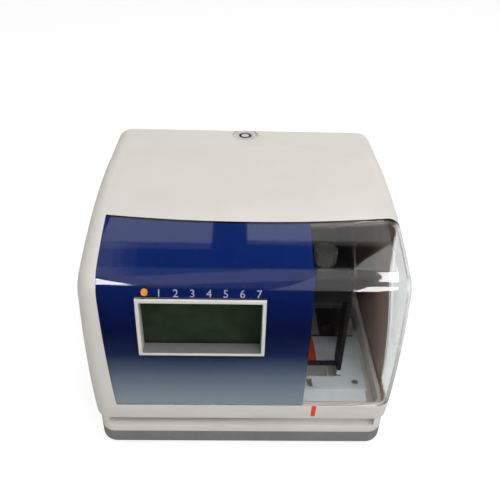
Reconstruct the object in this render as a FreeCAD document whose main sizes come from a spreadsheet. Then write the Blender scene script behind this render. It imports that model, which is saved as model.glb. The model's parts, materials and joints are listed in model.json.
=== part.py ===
import FreeCAD, Part
import math
import os
import re
import Sketcher
from FreeCAD import Placement, Rotation, Vector

# Date and time stamp machine. Millimetres, +Z up, front towards -Y.
# The origin is the centre of the footprint, on the surface the machine stands on.

SIZES = {
    # Case outline
    "case_width": 198,
    "case_depth": 174,
    "case_height": 165.4,
    "case_wall": 3.2,
    "side_draft": 1.0,
    "front_radius": 350,
    "front_bulge_drop": 81,
    "shoulder_radius": 19.5,
    "crown_radius": 266,
    "crown_reach": 115,
    "rear_radius": 12,
    "edge_radius": 10.5,
    # Window and its printed label
    "window_thickness": 1.9,
    "label_thickness": 0.4,
    "window_sill": 15.4,
    "window_reach": 47.6,
    "window_side_reach": 28.3,
    "window_side_radius": 125,
    "window_rear_radius": 860,
    "window_margin_low": 16.6,
    "window_margin_high": 13.5,
    "window_gap": 0.12,
    "window_ledge": 2.5,
    "label_end": 39.2,
    # Display bezel and indicator lens in the panel
    "bezel_width": 75.3,
    "bezel_height": 40.6,
    "bezel_border": 2.3,
    "bezel_proud": 0.8,
    "bezel_back_gap": 0.3,
    "bezel_gap": 0.1,
    "display_inset": 73.4,
    "display_drop": 53.9,
    "lens_radius": 1.9,
    "lens_left": 31.8,
    "lens_rise": 24.3,
    "lens_depth": 3.2,
    "lens_proud": 0.3,
    # Red position mark on the lip
    "mark_offset": 47,
    "mark_width": 3,
    "mark_height": 12,
    "mark_drop": 0.3,
    "mark_proud": 0.15,
    # Tubular key lock
    "lock_setback": 17,
    "lock_head_radius": 9.5,
    "lock_head_height": 2.2,
    "lock_recess": 0.4,
    "barrel_radius": 8.2,
    "barrel_length": 22,
    "lock_nut_radius": 11,
    "lock_nut_height": 4,
    "lock_boss_radius": 12.6,
    "lock_boss_depth": 4.3,
    "plug_radius": 5.6,
    "keyway_outer": 4.8,
    "keyway_inner": 2.9,
    "keyway_depth": 6,
    "keyway_notch": 1.8,
    "cam_length": 15,
    "cam_width": 8,
    "cam_thickness": 2,
    "cam_round": 2.5,
    "cam_screw_radius": 3,
    "cam_screw_height": 1.6,
    # Base shell and feet
    "foot_height": 2,
    "foot_radius": 7,
    "foot_inset": 15,
    "shell_height": 13,
    "shell_wall": 2.5,
    "shell_floor": 3,
    "shell_round": 4,
    "base_step": 2,
    "base_front_step": 3.5,
    "base_rear_step": 3,
    "base_corner": 11,
    "boss_radius": 4,
    "boss_reach": 28,
    "base_screw_radius": 1.5,
    "base_screw_head": 2.8,
    "base_screw_sink": 2,
    "hole_gap": 0.1,
    "desk_screw_radius": 2.1,
    "desk_screw_span": 120,
    "desk_screw_reach": 90,
    # Tray above the base shell, with the paper table
    "tray_lift": 6,
    "tray_floor": 3,
    "throat_height": 6.4,
    "parting_gap": 0.3,
    "upstand_height": 18,
    "upstand_wall": 3,
    "skirt_gap": 0.6,
    "rail_width": 4.5,
    "corner_depth": 8,
    "mouth_inset": 7.5,
    # Metal guide plate with the print window
    "plate_lead": 12.8,
    "plate_margin": 1,
    "plate_thickness": 1.2,
    "ledge_gap": 4.1,
    "ledge_thickness": 0.6,
    "ledge_edge_gap": 1.5,
    "print_front_share": 0.2448,
    "print_length": 15.3,
    "print_margin": 2,
    "plate_side_gap": 3.4,
    "slot_gap": 0.8,
    "slot_width": 6.2,
    "tab_length": 3,
    "tab_width": 1.6,
    "plate_hole_radius": 2.4,
    "plate_hole_inset": 7.4,
    "plate_hole_setback": 7.6,
    "notch_half": 2,
    "notch_length": 8.5,
    "notch_offset": 48.1,
    "notch_clear": 1.7,
    "notch_round": 1.2,
    # Platen and position pointer
    "platen_thickness": 1.5,
    "pointer_width": 11,
    "pointer_length": 26,
    "pointer_thickness": 0.5,
    "pointer_offset": 50.4,
    "pointer_tip": 9,
    # Sheet metal chassis
    "chassis_inset": 16,
    "chassis_thickness": 1.5,
    "chassis_rear_gap": 17.2,
    "chassis_height": 101,
    "chassis_notch_height": 14,
    "chassis_notch_gap": 4,
    "chassis_flange": 12,
    "chassis_slope": 14,
    "flange_screw_radius": 1.6,
    "chassis_screw_head": 3,
    "chassis_screw_height": 1.8,
    # Carriage on its two shafts
    "shaft_radius": 3,
    "shaft_height": 53,
    "shaft_belt_gap": 14,
    "shaft_end": 2,
    "running_gap": 0.05,
    "bush_radius": 5,
    "bush_flange": 1,
    "carriage_inset": 20.5,
    "carriage_travel": 45,
    "carriage_width": 30,
    "carriage_height": 24,
    "carriage_overhang": 8,
    "head_width": 24,
    "head_length": 20,
    "head_height": 40,
    "nose_width": 12,
    "nose_length": 9,
    "nose_inset": 7,
    "nose_clearance": 6.8,
    "fin_depth": 5,
    "fin_thickness": 1.2,
    "fin_pitch": 3.4,
    "fin_rows": 7,
    # Belt drive behind the carriage
    "belt_width": 5,
    "belt_thickness": 1.4,
    "belt_share": 0.6322,
    "pulley_radius": 8,
    "pulley_width": 7,
    "pulley_flange": 1.6,
    "flange_thickness": 0.8,
    "belt_gap": 0.3,
    "idler_inset": 13,
    "motor_inset": 20,
    "motor_radius": 18,
    "motor_length": 26,
    "motor_shaft_radius": 2.5,
    "motor_boss_radius": 6,
    "motor_boss_height": 1.2,
    "motor_screw_reach": 13,
    "idler_gap": 0.3,
    "clamp_width": 12,
    "clamp_height": 10,
    "clamp_shift": 6,
    "frame_gap": 4.5,
    "frame_drop": 26,
    "frame_rise": 32,
    "idler_pin_radius": 2.5,
    "pin_head_radius": 4,
    "pin_head_height": 1.5,
    # Ribbon cassette and its shelf
    "shelf_rise": 20.8,
    "shelf_thickness": 1.2,
    "shelf_inset": 2,
    "shelf_flange": 8,
    "cassette_lead": 1,
    "cassette_length": 49,
    "cassette_height": 10,
    "cassette_width": 104,
    "cassette_margin": 3,
    "cassette_round": 3,
    "arm_thickness": 3,
    "arm_length": 13,
    "arm_gap": 3,
    "arm_foot": 0.6,
    "ribbon_rise": 5.3,
    "ribbon_width": 5,
    "ribbon_thickness": 0.3,
    "knob_radius": 8.3,
    "knob_height": 10,
    "knob_stem_radius": 2.5,
    "knob_stem_length": 6,
    "knob_inset": 15,
    "knob_groove_radius": 0.9,
    "knob_grooves": 12,
    # Display, control board and set buttons
    "front_gap": 0.6,
    "lcd_lap": 2,
    "lcd_depth": 4.4,
    "glass_lap": 1.8,
    "glass_depth": 1.1,
    "board_thickness": 1.5,
    "board_margin": 3,
    "board_right_margin": 14,
    "board_drop": 46,
    "board_rise": 27,
    "panel_thickness": 2,
    "panel_arm_width": 4,
    "panel_arm_height": 6,
    "panel_arm_inset": 6,
    "panel_arm_lap": 6,
    "button_radius": 1.75,
    "button_pitch": 15,
    "button_drop": 36,
    "button_travel": 0.8,
    "switch_size": 6,
    "switch_depth": 2.8,
    "button_head_radius": 2.6,
    "button_head_depth": 0.8,
    "button_gap": 0.08,
    "led_radius": 1.5,
    "led_drop": 0.4,
    "led_gap": 1.5,
    # Paper trigger at the back of the throat
    "trigger_offset": 20,
    "trigger_gap": 8,
    "trigger_width": 14,
    "trigger_hub": 3.2,
    "trigger_pin_radius": 1.5,
    "trigger_rise": 6,
    "trigger_blade": 1.6,
    "trigger_tip_gap": 0.8,
    "trigger_ear": 2,
    "trigger_side_gap": 0.5,
    "trigger_swing": 9,
    "ear_radius": 3.4,
    "microswitch_gap": 11,
    "microswitch_length": 6,
    "microswitch_height": 10,
    "stop_length": 3,
    "stop_gap": 0.3,
    # Electronics in the rear
    "main_board_rear_gap": 5.2,
    "main_board_length": 40,
    "main_board_gap": 2,
    "main_board_end_gap": 4,
    "post_radius": 3,
    "post_height": 8,
    "post_inset": 5,
    "chip_size": 14,
    "chip_height": 2.2,
    "capacitor_radius": 6,
    "capacitor_height": 18,
    "capacitor_gap": 1,
    "connector_length": 16,
    "connector_width": 6,
    "connector_height": 9,
    "cell_radius": 7.2,
    "cell_length": 29,
    "cell_gap": 2,
    "holder_rear_gap": 2,
    "holder_wall": 1.5,
    "holder_height": 6,
    "cell_end_gap": 0.3,
    # Power inlet at the rear
    "inlet_offset": 55,
    "inlet_width": 10,
    "inlet_height": 12,
    "inlet_length": 13,
    "inlet_radius": 3.1,
    "inlet_depth": 9,
    "inlet_rise": 6.6,
    "inlet_cheek": 4,
    "inlet_tab_rise": 3,
    "inlet_gap": 0.4,
    # Lock striker
    "striker_width": 12,
    "striker_thickness": 1.5,
    "striker_cam_gap": 1.2,
    "striker_barrel_gap": 1.2,
    "striker_foot": 16,
    # One overrun serves every cut
    "overrun": 1,
}

PLACES = {
    # Case, tray and the display's place
    "front_y": "(bezel_proud - case_depth) / 2",
    "rear_y": "(bezel_proud + case_depth) / 2",
    "tray_z": "foot_height + shell_height",
    "table_z": "tray_z + tray_lift",
    "seat_z": "table_z + throat_height",
    "rim_z": "seat_z - parting_gap",
    "upstand_z": "table_z + upstand_height",
    "sill_z": "seat_z + window_sill",
    "bulge_z": "case_height - front_bulge_drop",
    "window_side_y": "front_y + window_side_reach + window_side_radius",
    "window_rear_y": "front_y + window_reach + window_rear_radius",
    "display_x": "display_inset - case_width / 2",
    "display_z": "case_height - display_drop",
    # Base and tray
    "base_half": "case_width / 2 - base_step",
    "base_front": "front_y + base_front_step",
    "base_rear": "rear_y - base_rear_step",
    "draft_loss": "(upstand_z - seat_z) * tan(side_draft)",
    "upstand_half": "case_width / 2 - draft_loss - case_wall - skirt_gap",
    "inner_half": "upstand_half - upstand_wall",
    "upstand_rear": "rear_y - case_wall - skirt_gap",
    "upstand_corner": "edge_radius - case_wall - skirt_gap",
    "inner_rear": "upstand_rear - upstand_wall",
    "upstand_front": "front_y + bulge_reach + case_wall + skirt_gap",
    "throat_half": "inner_half - rail_width",
    "mouth_half": "base_half - mouth_inset",
    "pocket_front": "base_front + corner_depth",
    "rail_rear": "plate_rear + corner_depth",
    "foot_x": "base_half - foot_inset",
    "foot_y": "(base_rear - base_front) / 2 - foot_inset",
    "base_middle": "(base_rear + base_front) / 2",
    # Guide plate
    "plate_half": "inner_half - plate_side_gap",
    "plate_front": "print_front - plate_lead",
    "plate_rear": "microswitch_y + microswitch_length + plate_margin",
    "plate_top": "seat_z + plate_thickness",
    "ledge_front": "front_y + bulge_reach + case_wall + ledge_gap",
    "print_front": "front_y + case_depth * print_front_share",
    "print_middle": "print_front + print_length / 2",
    "print_rear": "print_front + print_length",
    "print_right": "carriage_x + carriage_travel + nose_width / 2 + print_margin",
    "print_left": "carriage_x - nose_width / 2 - print_margin",
    # Chassis
    "chassis_half": "inner_half - chassis_inset",
    "bay_half": "chassis_half - chassis_thickness",
    "chassis_front": "carriage_front",
    "chassis_rear": "inner_rear - chassis_rear_gap",
    "chassis_top": "table_z + chassis_height",
    "chassis_foot": "plate_rear + chassis_notch_gap",
    "chassis_notch": "table_z + chassis_notch_height",
    "flange_top": "table_z + chassis_thickness",
    "flange_x": "bay_half - chassis_flange / 2",
    "flange_front": "chassis_foot + chassis_flange",
    "flange_rear": "chassis_rear - chassis_flange",
    # Carriage
    "carriage_x": "bay_half - carriage_inset - carriage_travel",
    "shaft_z": "table_z + shaft_height",
    "front_shaft_y": "carriage_front + carriage_overhang",
    "rear_shaft_y": "belt_y - shaft_belt_gap",
    "bore_radius": "shaft_radius + running_gap",
    "carriage_left": "carriage_x - carriage_width / 2",
    "carriage_right": "carriage_x + carriage_width / 2",
    "carriage_front": "print_middle + nose_length / 2 + nose_inset",
    "carriage_rear": "rear_shaft_y + carriage_overhang",
    "carriage_bottom": "shaft_z - carriage_height / 2",
    "carriage_top": "shaft_z + carriage_height / 2",
    "nose_z": "plate_top + nose_clearance",
    "head_bottom": "carriage_top - head_height",
    "head_front": "carriage_front - head_length",
    # Belt drive
    "belt_y": "front_y + case_depth * belt_share",
    "idler_x": "bay_half - idler_inset",
    "motor_x": "motor_inset - bay_half",
    "belt_inner": "pulley_radius + belt_gap",
    "belt_outer": "belt_inner + belt_thickness",
    "pulley_front": "belt_y - pulley_width / 2",
    "pulley_back": "belt_y + pulley_width / 2",
    "frame_y": "pulley_back + frame_gap",
    "frame_back": "frame_y + chassis_thickness",
    "frame_bottom": "shaft_z - frame_drop",
    "frame_top": "shaft_z + frame_rise",
    "motor_back": "frame_back + motor_length",
    "clamp_right": "carriage_x - clamp_shift",
    "clamp_left": "clamp_right - clamp_width",
    "clamp_z": "shaft_z - belt_inner - belt_thickness / 2",
    # Cassette
    "shelf_z": "shaft_z + shelf_rise",
    "shelf_top": "shelf_z + shelf_thickness",
    "shelf_front": "chassis_front + shelf_inset",
    "cassette_front": "print_front + cassette_lead",
    "cassette_rear": "cassette_front + cassette_length",
    "cassette_right": "bay_half - cassette_margin",
    "cassette_left": "cassette_right - cassette_width",
    "cassette_top": "shelf_top + cassette_height",
    "ribbon_z": "plate_top + ribbon_rise",
    "arm_bottom": "ribbon_z - arm_foot",
    "right_arm": "cassette_right - arm_thickness",
    "left_arm": "carriage_x - head_width / 2 - arm_gap",
    "knob_x": "cassette_right - knob_inset",
    "knob_y": "cassette_rear - knob_inset",
    "knob_z": "cassette_top + running_gap",
    # Display stack behind the panel
    "bulge_span": "max(bulge_z - seat_z; display_z + board_rise - bulge_z)",
    "bulge_reach": "front_radius - sqrt(front_radius ^ 2 - bulge_span ^ 2)",
    "inner_front": "front_y + bulge_reach + case_wall + front_gap",
    "board_front": "inner_front + lcd_depth",
    "board_back": "board_front + board_thickness",
    "panel_back": "board_back + panel_thickness",
    "lcd_half_width": "bezel_width / 2 + lcd_lap",
    "lcd_half_height": "bezel_height / 2 + lcd_lap",
    "glass_half_width": "bezel_width / 2 - bezel_border + glass_lap",
    "glass_half_height": "bezel_height / 2 - bezel_border + glass_lap",
    "board_left": "display_x - lcd_half_width - board_margin",
    "board_right": "display_x + lcd_half_width + board_right_margin",
    "board_bottom": "display_z - board_drop",
    "board_top": "display_z + board_rise",
    "lens_x": "display_x - lens_left",
    "lens_z": "display_z + lens_rise",
    "led_z": "lens_z - led_drop",
    "button_z": "display_z - button_drop",
    "switch_front": "board_front - switch_depth",
    # Paper trigger
    "trigger_y": "print_rear + trigger_gap",
    "trigger_z": "plate_top + trigger_rise",
    "ear_inner": "trigger_width / 2 + trigger_side_gap",
    "ear_outer": "ear_inner + trigger_ear",
    "trigger_front": "trigger_y - ear_radius",
    "microswitch_y": "trigger_y + microswitch_gap",
    # Electronics
    "main_board_rear": "inner_rear - main_board_rear_gap",
    "main_board_front": "main_board_rear - main_board_length",
    "main_board_x": "main_board_gap + chassis_flange - bay_half",
    "main_board_end": "holder_left - main_board_end_gap",
    "chip_first": "main_board_x + post_inset",
    "chip_last": "main_board_end - post_inset - chip_size",
    "post_top": "table_z + post_height",
    "main_board_top": "post_top + board_thickness",
    "holder_right": "bay_half - chassis_flange - cell_gap",
    "cell_x": "holder_right - holder_wall - cell_radius",
    "second_cell_x": "cell_x - cell_radius * 2",
    "holder_left": "second_cell_x - cell_radius - holder_wall",
    "holder_rear": "inlet_front - holder_rear_gap",
    "cell_rear": "holder_rear - holder_wall - cell_end_gap",
    "cell_front": "cell_rear - cell_length",
    "holder_front": "cell_front - cell_end_gap - holder_wall",
    "cell_z": "table_z + holder_wall + cell_radius",
    # Power inlet
    "inlet_front": "inner_rear - inlet_length",
    "inlet_z": "table_z + inlet_rise",
    "inlet_top": "table_z + inlet_height",
    "tab_top": "inlet_top + inlet_tab_rise",
    "tab_half": "inlet_width / 2 + inlet_cheek",
    # Lock
    "lock_y": "rear_y - lock_setback",
    "lock_top": "case_height - lock_recess",
    "lock_head_z": "lock_top - lock_head_height",
    "barrel_z": "lock_head_z - barrel_length",
    "cam_z": "barrel_z - cam_thickness",
    "nut_top": "case_height - case_wall - lock_boss_depth",
    "plug_bore": "plug_radius + running_gap",
    "striker_z": "barrel_z + striker_cam_gap",
    "striker_top": "striker_z + striker_thickness",
    "striker_end": "lock_y - barrel_radius - striker_barrel_gap",
    "striker_foot_z": "frame_top - striker_foot",
}

doc = FreeCAD.newDocument("date_time_stamp_machine")
sheet = doc.addObject("Spreadsheet::Sheet", "sizes")
for row, (alias, number) in enumerate(SIZES.items(), start=1):
    sheet.set(f"A{row}", alias)
    sheet.set(f"B{row}", str(number))
    sheet.setAlias(f"B{row}", alias)
doc.recompute()
places = doc.addObject("App::FeaturePython", "places")
gauge = doc.addObject("App::FeaturePython", "gauge")
gauge.addProperty("App::PropertyFloat", "reading")

X_AXIS = Vector(1, 0, 0)
Y_AXIS = Vector(0, 1, 0)
Z_AXIS = Vector(0, 0, 1)
PIECES = []


def formula(text):
    """Write a sum of named sizes as an expression of the document."""
    def full_name(match):
        word = match.group()
        if word in SIZES:
            return "sizes." + word
        if word in PLACES:
            return "places." + word
        return word
    return re.sub(r"[a-z_]+", full_name, text)


for place_name in PLACES:
    places.addProperty("App::PropertyFloat", place_name)
for place_name, place_text in PLACES.items():
    places.setExpression(place_name, formula(place_text))
doc.recompute()


def value(text):
    """The number that a sum of named sizes comes to."""
    gauge.setExpression("reading", formula(text))
    gauge.recompute()
    return gauge.reading


def bind(item, **sums):
    for key, text in sums.items():
        item.setExpression(key.replace("__", "."), formula(text))


def locate(item, x, y, z):
    bind(item, Placement__Base__x=x, Placement__Base__y=y, Placement__Base__z=z)


# Primitives and booleans

def block(name, x, y, z):
    """A box between two sums on each axis."""
    item = doc.addObject("Part::Box", name)
    bind(item, Length=f"({x[1]}) - ({x[0]})")
    bind(item, Width=f"({y[1]}) - ({y[0]})")
    bind(item, Height=f"({z[1]}) - ({z[0]})")
    locate(item, x[0], y[0], z[0])
    return item


def rod(name, axis, centre, span, radius):
    """A round bar along an axis, between the two sums of its span."""
    item = doc.addObject("Part::Cylinder", name)
    bind(item, Radius=radius, Height=f"({span[1]}) - ({span[0]})")
    if axis == "x":
        item.Placement = Placement(Vector(), Rotation(Y_AXIS, 90))
        locate(item, span[0], centre[0], centre[1])
    elif axis == "y":
        item.Placement = Placement(Vector(), Rotation(X_AXIS, -90))
        locate(item, centre[0], span[0], centre[1])
    else:
        locate(item, centre[0], centre[1], span[0])
    return item


def fuse(name, *parts):
    item = doc.addObject("Part::MultiFuse", name)
    item.Shapes = list(parts)
    item.Refine = True
    return item


def cut(name, base, *tools):
    item = doc.addObject("Part::Cut", name)
    item.Base = base
    item.Tool = tools[0] if len(tools) == 1 else fuse(name + "_cuts", *tools)
    item.Refine = True
    return item


def common(name, first, second):
    item = doc.addObject("Part::Common", name)
    item.Base = first
    item.Tool = second
    return item


def group(name, *parts):
    item = doc.addObject("Part::Compound", name)
    item.Links = list(parts)
    return item


def keep(node, item):
    """Name a finished sub-part."""
    item.Label = node
    PIECES.append(item)
    return item


# Sketched bodies

def new_body(name):
    return doc.addObject("PartDesign::Body", name)


def sketch_at(owner, role, offset):
    """A sketch on one of the body's own origin planes, moved along its normal."""
    plane = [feature for feature in owner.Origin.OriginFeatures if feature.Role == role][0]
    sketch = owner.newObject("Sketcher::SketchObject", owner.Name + "_sketch")
    sketch.AttachmentSupport = [(plane, "")]
    sketch.MapMode = "FlatFace"
    bind(sketch, AttachmentOffset__Base__z=offset)
    return sketch


def draw_outline(sketch, points):
    """A closed outline of straight lines whose corners are bound to named sizes."""
    spots = [Vector(value(x), value(y), 0) for x, y in points]
    start = sketch.GeometryCount
    count = len(points)
    for number in range(count):
        sketch.addGeometry(Part.LineSegment(spots[number], spots[(number + 1) % count]), False)
    for number, (x, y) in enumerate(points):
        line = start + number
        following = start + (number + 1) % count
        sketch.addConstraint(Sketcher.Constraint("Coincident", line, 2, following, 1))
        across = sketch.addConstraint(
            Sketcher.Constraint("DistanceX", -1, 1, line, 1, spots[number].x))
        sketch.setExpression(f"Constraints[{across}]", formula(x))
        along = sketch.addConstraint(
            Sketcher.Constraint("DistanceY", -1, 1, line, 1, spots[number].y))
        sketch.setExpression(f"Constraints[{along}]", formula(y))


def draw_rectangle(sketch, x, y):
    draw_outline(sketch, [(x[0], y[0]), (x[1], y[0]), (x[1], y[1]), (x[0], y[1])])


def draw_circle(sketch, x, y, radius):
    centre = Vector(value(x), value(y), 0)
    circle = sketch.addGeometry(Part.Circle(centre, Z_AXIS, value(radius)), False)
    across = sketch.addConstraint(Sketcher.Constraint("DistanceX", -1, 1, circle, 3, centre.x))
    sketch.setExpression(f"Constraints[{across}]", formula(x))
    along = sketch.addConstraint(Sketcher.Constraint("DistanceY", -1, 1, circle, 3, centre.y))
    sketch.setExpression(f"Constraints[{along}]", formula(y))
    bound = sketch.addConstraint(Sketcher.Constraint("Radius", circle, value(radius)))
    sketch.setExpression(f"Constraints[{bound}]", formula(radius))


def pad(owner, role, span, draw):
    """Add material between the two sums of the span, along the plane's axis."""
    offset = f"-({span[1]})" if role == "XZ_Plane" else span[0]
    sketch = sketch_at(owner, role, offset)
    draw(sketch)
    feature = owner.newObject("PartDesign::Pad", owner.Name + "_pad")
    feature.Profile = sketch
    bind(feature, Length=f"({span[1]}) - ({span[0]})")
    doc.recompute()
    return feature


def pocket(owner, role, span, draw):
    """Remove material between the two sums of the span, along the plane's axis."""
    offset = f"-({span[0]})" if role == "XZ_Plane" else span[1]
    sketch = sketch_at(owner, role, offset)
    draw(sketch)
    before = owner.Shape.Volume
    feature = owner.newObject("PartDesign::Pocket", owner.Name + "_pocket")
    feature.Profile = sketch
    bind(feature, Length=f"({span[1]}) - ({span[0]})")
    doc.recompute()
    if owner.Shape.Volume >= before:
        raise RuntimeError(f"a pocket of {owner.Name} removes nothing")
    return feature


def round_edges(owner, radius, wanted):
    """Round the edges of the body that the test picks."""
    base = owner.Tip
    names = [f"Edge{number}" for number, edge in enumerate(base.Shape.Edges, start=1)
             if wanted(edge)]
    feature = owner.newObject("PartDesign::Fillet", owner.Name + "_fillet")
    feature.Base = (base, names)
    bind(feature, Radius=radius)
    doc.recompute()
    return feature


def is_upright(edge):
    """True for a straight edge that runs up and down."""
    ends = [vertex.Point for vertex in edge.Vertexes]
    if len(ends) < 2 or not isinstance(edge.Curve, Part.Line):
        return False
    run = ends[1] - ends[0]
    return abs(run.z) > value("running_gap") and abs(run.x) + abs(run.y) < value("running_gap")


def rounded_block(name, x, y, z, radius):
    """A box between two sums on each axis, with its upright edges rounded."""
    item = new_body(name)
    pad(item, "XY_Plane", z, lambda sketch: draw_rectangle(sketch, x, y))
    round_edges(item, radius, is_upright)
    return item


def is_at_height(edge, height):
    return all(abs(vertex.Point.z - height) < value("running_gap") for vertex in edge.Vertexes)


# Case form: a crowned side profile between drafted sides, with rounded edges

def shoulder_centre():
    """Centre of the shoulder arc, tangent to the front arc and to the crown arc."""
    front = Vector(0, value("front_y + front_radius"), value("bulge_z"))
    crown = Vector(0, value("front_y + crown_reach"), value("case_height - crown_radius"))
    to_front = value("front_radius - shoulder_radius")
    to_crown = value("crown_radius - shoulder_radius")
    between = crown - front
    span = between.Length
    along = (to_front ** 2 - to_crown ** 2 + span ** 2) / (2 * span)
    aside = math.sqrt(to_front ** 2 - along ** 2)
    step = Vector(0, -between.z, between.y) / span
    candidates = [front + between / span * along + step * sign * aside for sign in (1, -1)]
    return min(candidates, key=lambda centre: centre.y)


def arc_between(centre, radius, start, end):
    """The arc from start to end directions, seen from the centre."""
    middle = (start + end).normalize()
    points = [centre + direction * radius for direction in (start, middle, end)]
    return Part.Arc(*points).toShape()


def case_profile(inset):
    """The closed side profile, moved inwards by the inset."""
    bottom = value("seat_z")
    front = Vector(0, value("front_y + front_radius"), value("bulge_z"))
    crown = Vector(0, value("front_y + crown_reach"), value("case_height - crown_radius"))
    shoulder = shoulder_centre()
    front_radius = value("front_radius") - inset
    drop = bottom - front.z
    low_front = (Vector(0, -math.sqrt(front_radius ** 2 - drop ** 2), drop)).normalize()
    to_shoulder = (shoulder - front).normalize()
    to_crown = (shoulder - crown).normalize()
    rear_round = Vector(0, value("rear_y - rear_radius"), value("case_height - rear_radius"))
    edges = [
        arc_between(front, front_radius, low_front, to_shoulder),
        arc_between(shoulder, value("shoulder_radius") - inset, to_shoulder, to_crown),
        arc_between(crown, value("crown_radius") - inset, to_crown, Z_AXIS),
    ]
    rear_radius = value("rear_radius") - inset
    crown_end = crown + Z_AXIS * (value("crown_radius") - inset)
    rear_top = rear_round + Z_AXIS * rear_radius
    rear_side = rear_round + Y_AXIS * rear_radius
    rear_low = Vector(0, rear_side.y, bottom)
    front_low = front + low_front * front_radius
    edges += [
        Part.LineSegment(crown_end, rear_top).toShape(),
        arc_between(rear_round, rear_radius, Z_AXIS, Y_AXIS),
        Part.LineSegment(rear_side, rear_low).toShape(),
        Part.LineSegment(rear_low, front_low).toShape(),
    ]
    return Part.Wire(Part.__sortEdges__(edges))


def case_form(inset):
    """The solid that the case outline encloses, moved inwards by the inset."""
    slope = math.tan(math.radians(value("side_draft")))
    lean = math.cos(math.radians(value("side_draft")))
    bottom = value("seat_z")
    top = value("case_height + overrun")
    half = value("case_width / 2") - inset / lean
    upper = half - (top - bottom) * slope
    side = value("case_width / 2")
    depth = value("case_depth + overrun * 2")
    prism = Part.Face(case_profile(inset)).extrude(X_AXIS * side * 2)
    prism.translate(-X_AXIS * side)
    wedge_points = [Vector(-half, 0, bottom), Vector(half, 0, bottom),
                    Vector(upper, 0, top), Vector(-upper, 0, top)]
    wedge = Part.Face(Part.makePolygon(wedge_points + wedge_points[:1])).extrude(Y_AXIS * depth)
    wedge.translate(-Y_AXIS * depth / 2)
    form = prism.common(wedge)
    near = value("running_gap")

    def on_side(edge):
        ends = [vertex.Point for vertex in edge.Vertexes]
        flush = all(abs(abs(end.x) - half + (end.z - bottom) * slope) < near for end in ends)
        low = all(abs(end.z - bottom) < near for end in ends)
        return flush and not low
    edges = [edge for edge in form.Edges if on_side(edge)]
    return form.makeFillet(value("edge_radius") - inset, edges)


def form_feature(name, inset):
    item = doc.addObject("Part::Feature", name)
    item.Shape = case_form(value(inset))
    item.Placement = Placement()
    return item


# Feet and base shell

def make_feet():
    feet = []
    for side, sign_x in (("left", "-"), ("right", "")):
        for end, sign_y in (("front", "-"), ("rear", "+")):
            centre = (f"{sign_x}foot_x", f"base_middle {sign_y} foot_y")
            feet.append(rod(f"foot_{side}_{end}", "z", centre, ("0", "foot_height"), "foot_radius"))
    keep("rubber_feet", group("feet", *feet))


def boss_places():
    """Where the screws join the base shell to the tray."""
    return [(f"{sign}foot_x", f"base_middle {way} boss_reach") for sign in ("-", "")
            for way in ("-", "+")]


def boss_rods(name, span, radius):
    return [rod(f"{name}_{number}", "z", (x, y), span, radius)
            for number, (x, y) in enumerate(boss_places())]


def make_base_shell():
    outer = rounded_block("shell_outer", ("-base_half", "base_half"), ("base_front", "base_rear"),
                          ("foot_height", "tray_z"), "base_corner")
    bottom = value("foot_height")
    round_edges(outer, "shell_round", lambda edge: is_at_height(edge, bottom))
    inner = rounded_block("shell_inner", ("shell_wall - base_half", "base_half - shell_wall"),
                          ("base_front + shell_wall", "base_rear - shell_wall"),
                          ("foot_height + shell_floor", "tray_z + overrun"),
                          "base_corner - shell_wall")
    bosses = boss_rods("shell_boss", ("foot_height + shell_floor", "tray_z"), "boss_radius")
    holes = boss_rods("shell_boss_hole", ("foot_height - overrun", "tray_z + overrun"),
                      "base_screw_radius + hole_gap")
    holes += boss_rods("shell_sink", ("foot_height - overrun", "foot_height + base_screw_sink"),
                       "base_screw_head + hole_gap")
    for x in ("-desk_screw_span / 2", "desk_screw_span / 2"):
        for y in ("base_middle - desk_screw_reach / 2", "base_middle + desk_screw_reach / 2"):
            holes.append(rod(f"desk_hole_{len(holes)}", "z", (x, y),
                             ("foot_height - overrun", "foot_height + shell_floor + overrun"),
                             "desk_screw_radius"))
    hollow = fuse("shell_walls", cut("shell_tub", outer, inner), *bosses)
    keep("base_shell", cut("shell", hollow, *holes))


def make_base_screws():
    screws = []
    for number, (x, y) in enumerate(boss_places()):
        head = rod(f"base_screw_head_{number}", "z", (x, y),
                   ("foot_height", "foot_height + base_screw_sink"), "base_screw_head")
        shank = rod(f"base_screw_shank_{number}", "z", (x, y),
                    ("foot_height", "table_z - tray_floor / 2"), "base_screw_radius")
        screws.append(fuse(f"base_screw_{number}", head, shank))
    keep("base_screws", group("screws_below", *screws))


# Tray with the paper table, its raised corners and its upstand

def make_upstand():
    """The wall inside the cover's skirt, open at the front between its rounded corners."""
    outer = rounded_block("upstand_outer", ("-upstand_half", "upstand_half"),
                          ("upstand_front", "upstand_rear"), ("rim_z", "upstand_z"),
                          "upstand_corner")
    inner = rounded_block("upstand_inner", ("-inner_half", "inner_half"),
                          ("upstand_front + upstand_wall", "inner_rear"),
                          ("rim_z - overrun", "upstand_z + overrun"),
                          "upstand_corner - upstand_wall")
    ahead = block("upstand_ahead", ("-mouth_half", "mouth_half"),
                  ("upstand_front - overrun", "upstand_front + upstand_wall + overrun"),
                  ("rim_z - overrun", "upstand_z + overrun"))
    return cut("upstand", outer, inner, ahead)


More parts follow.
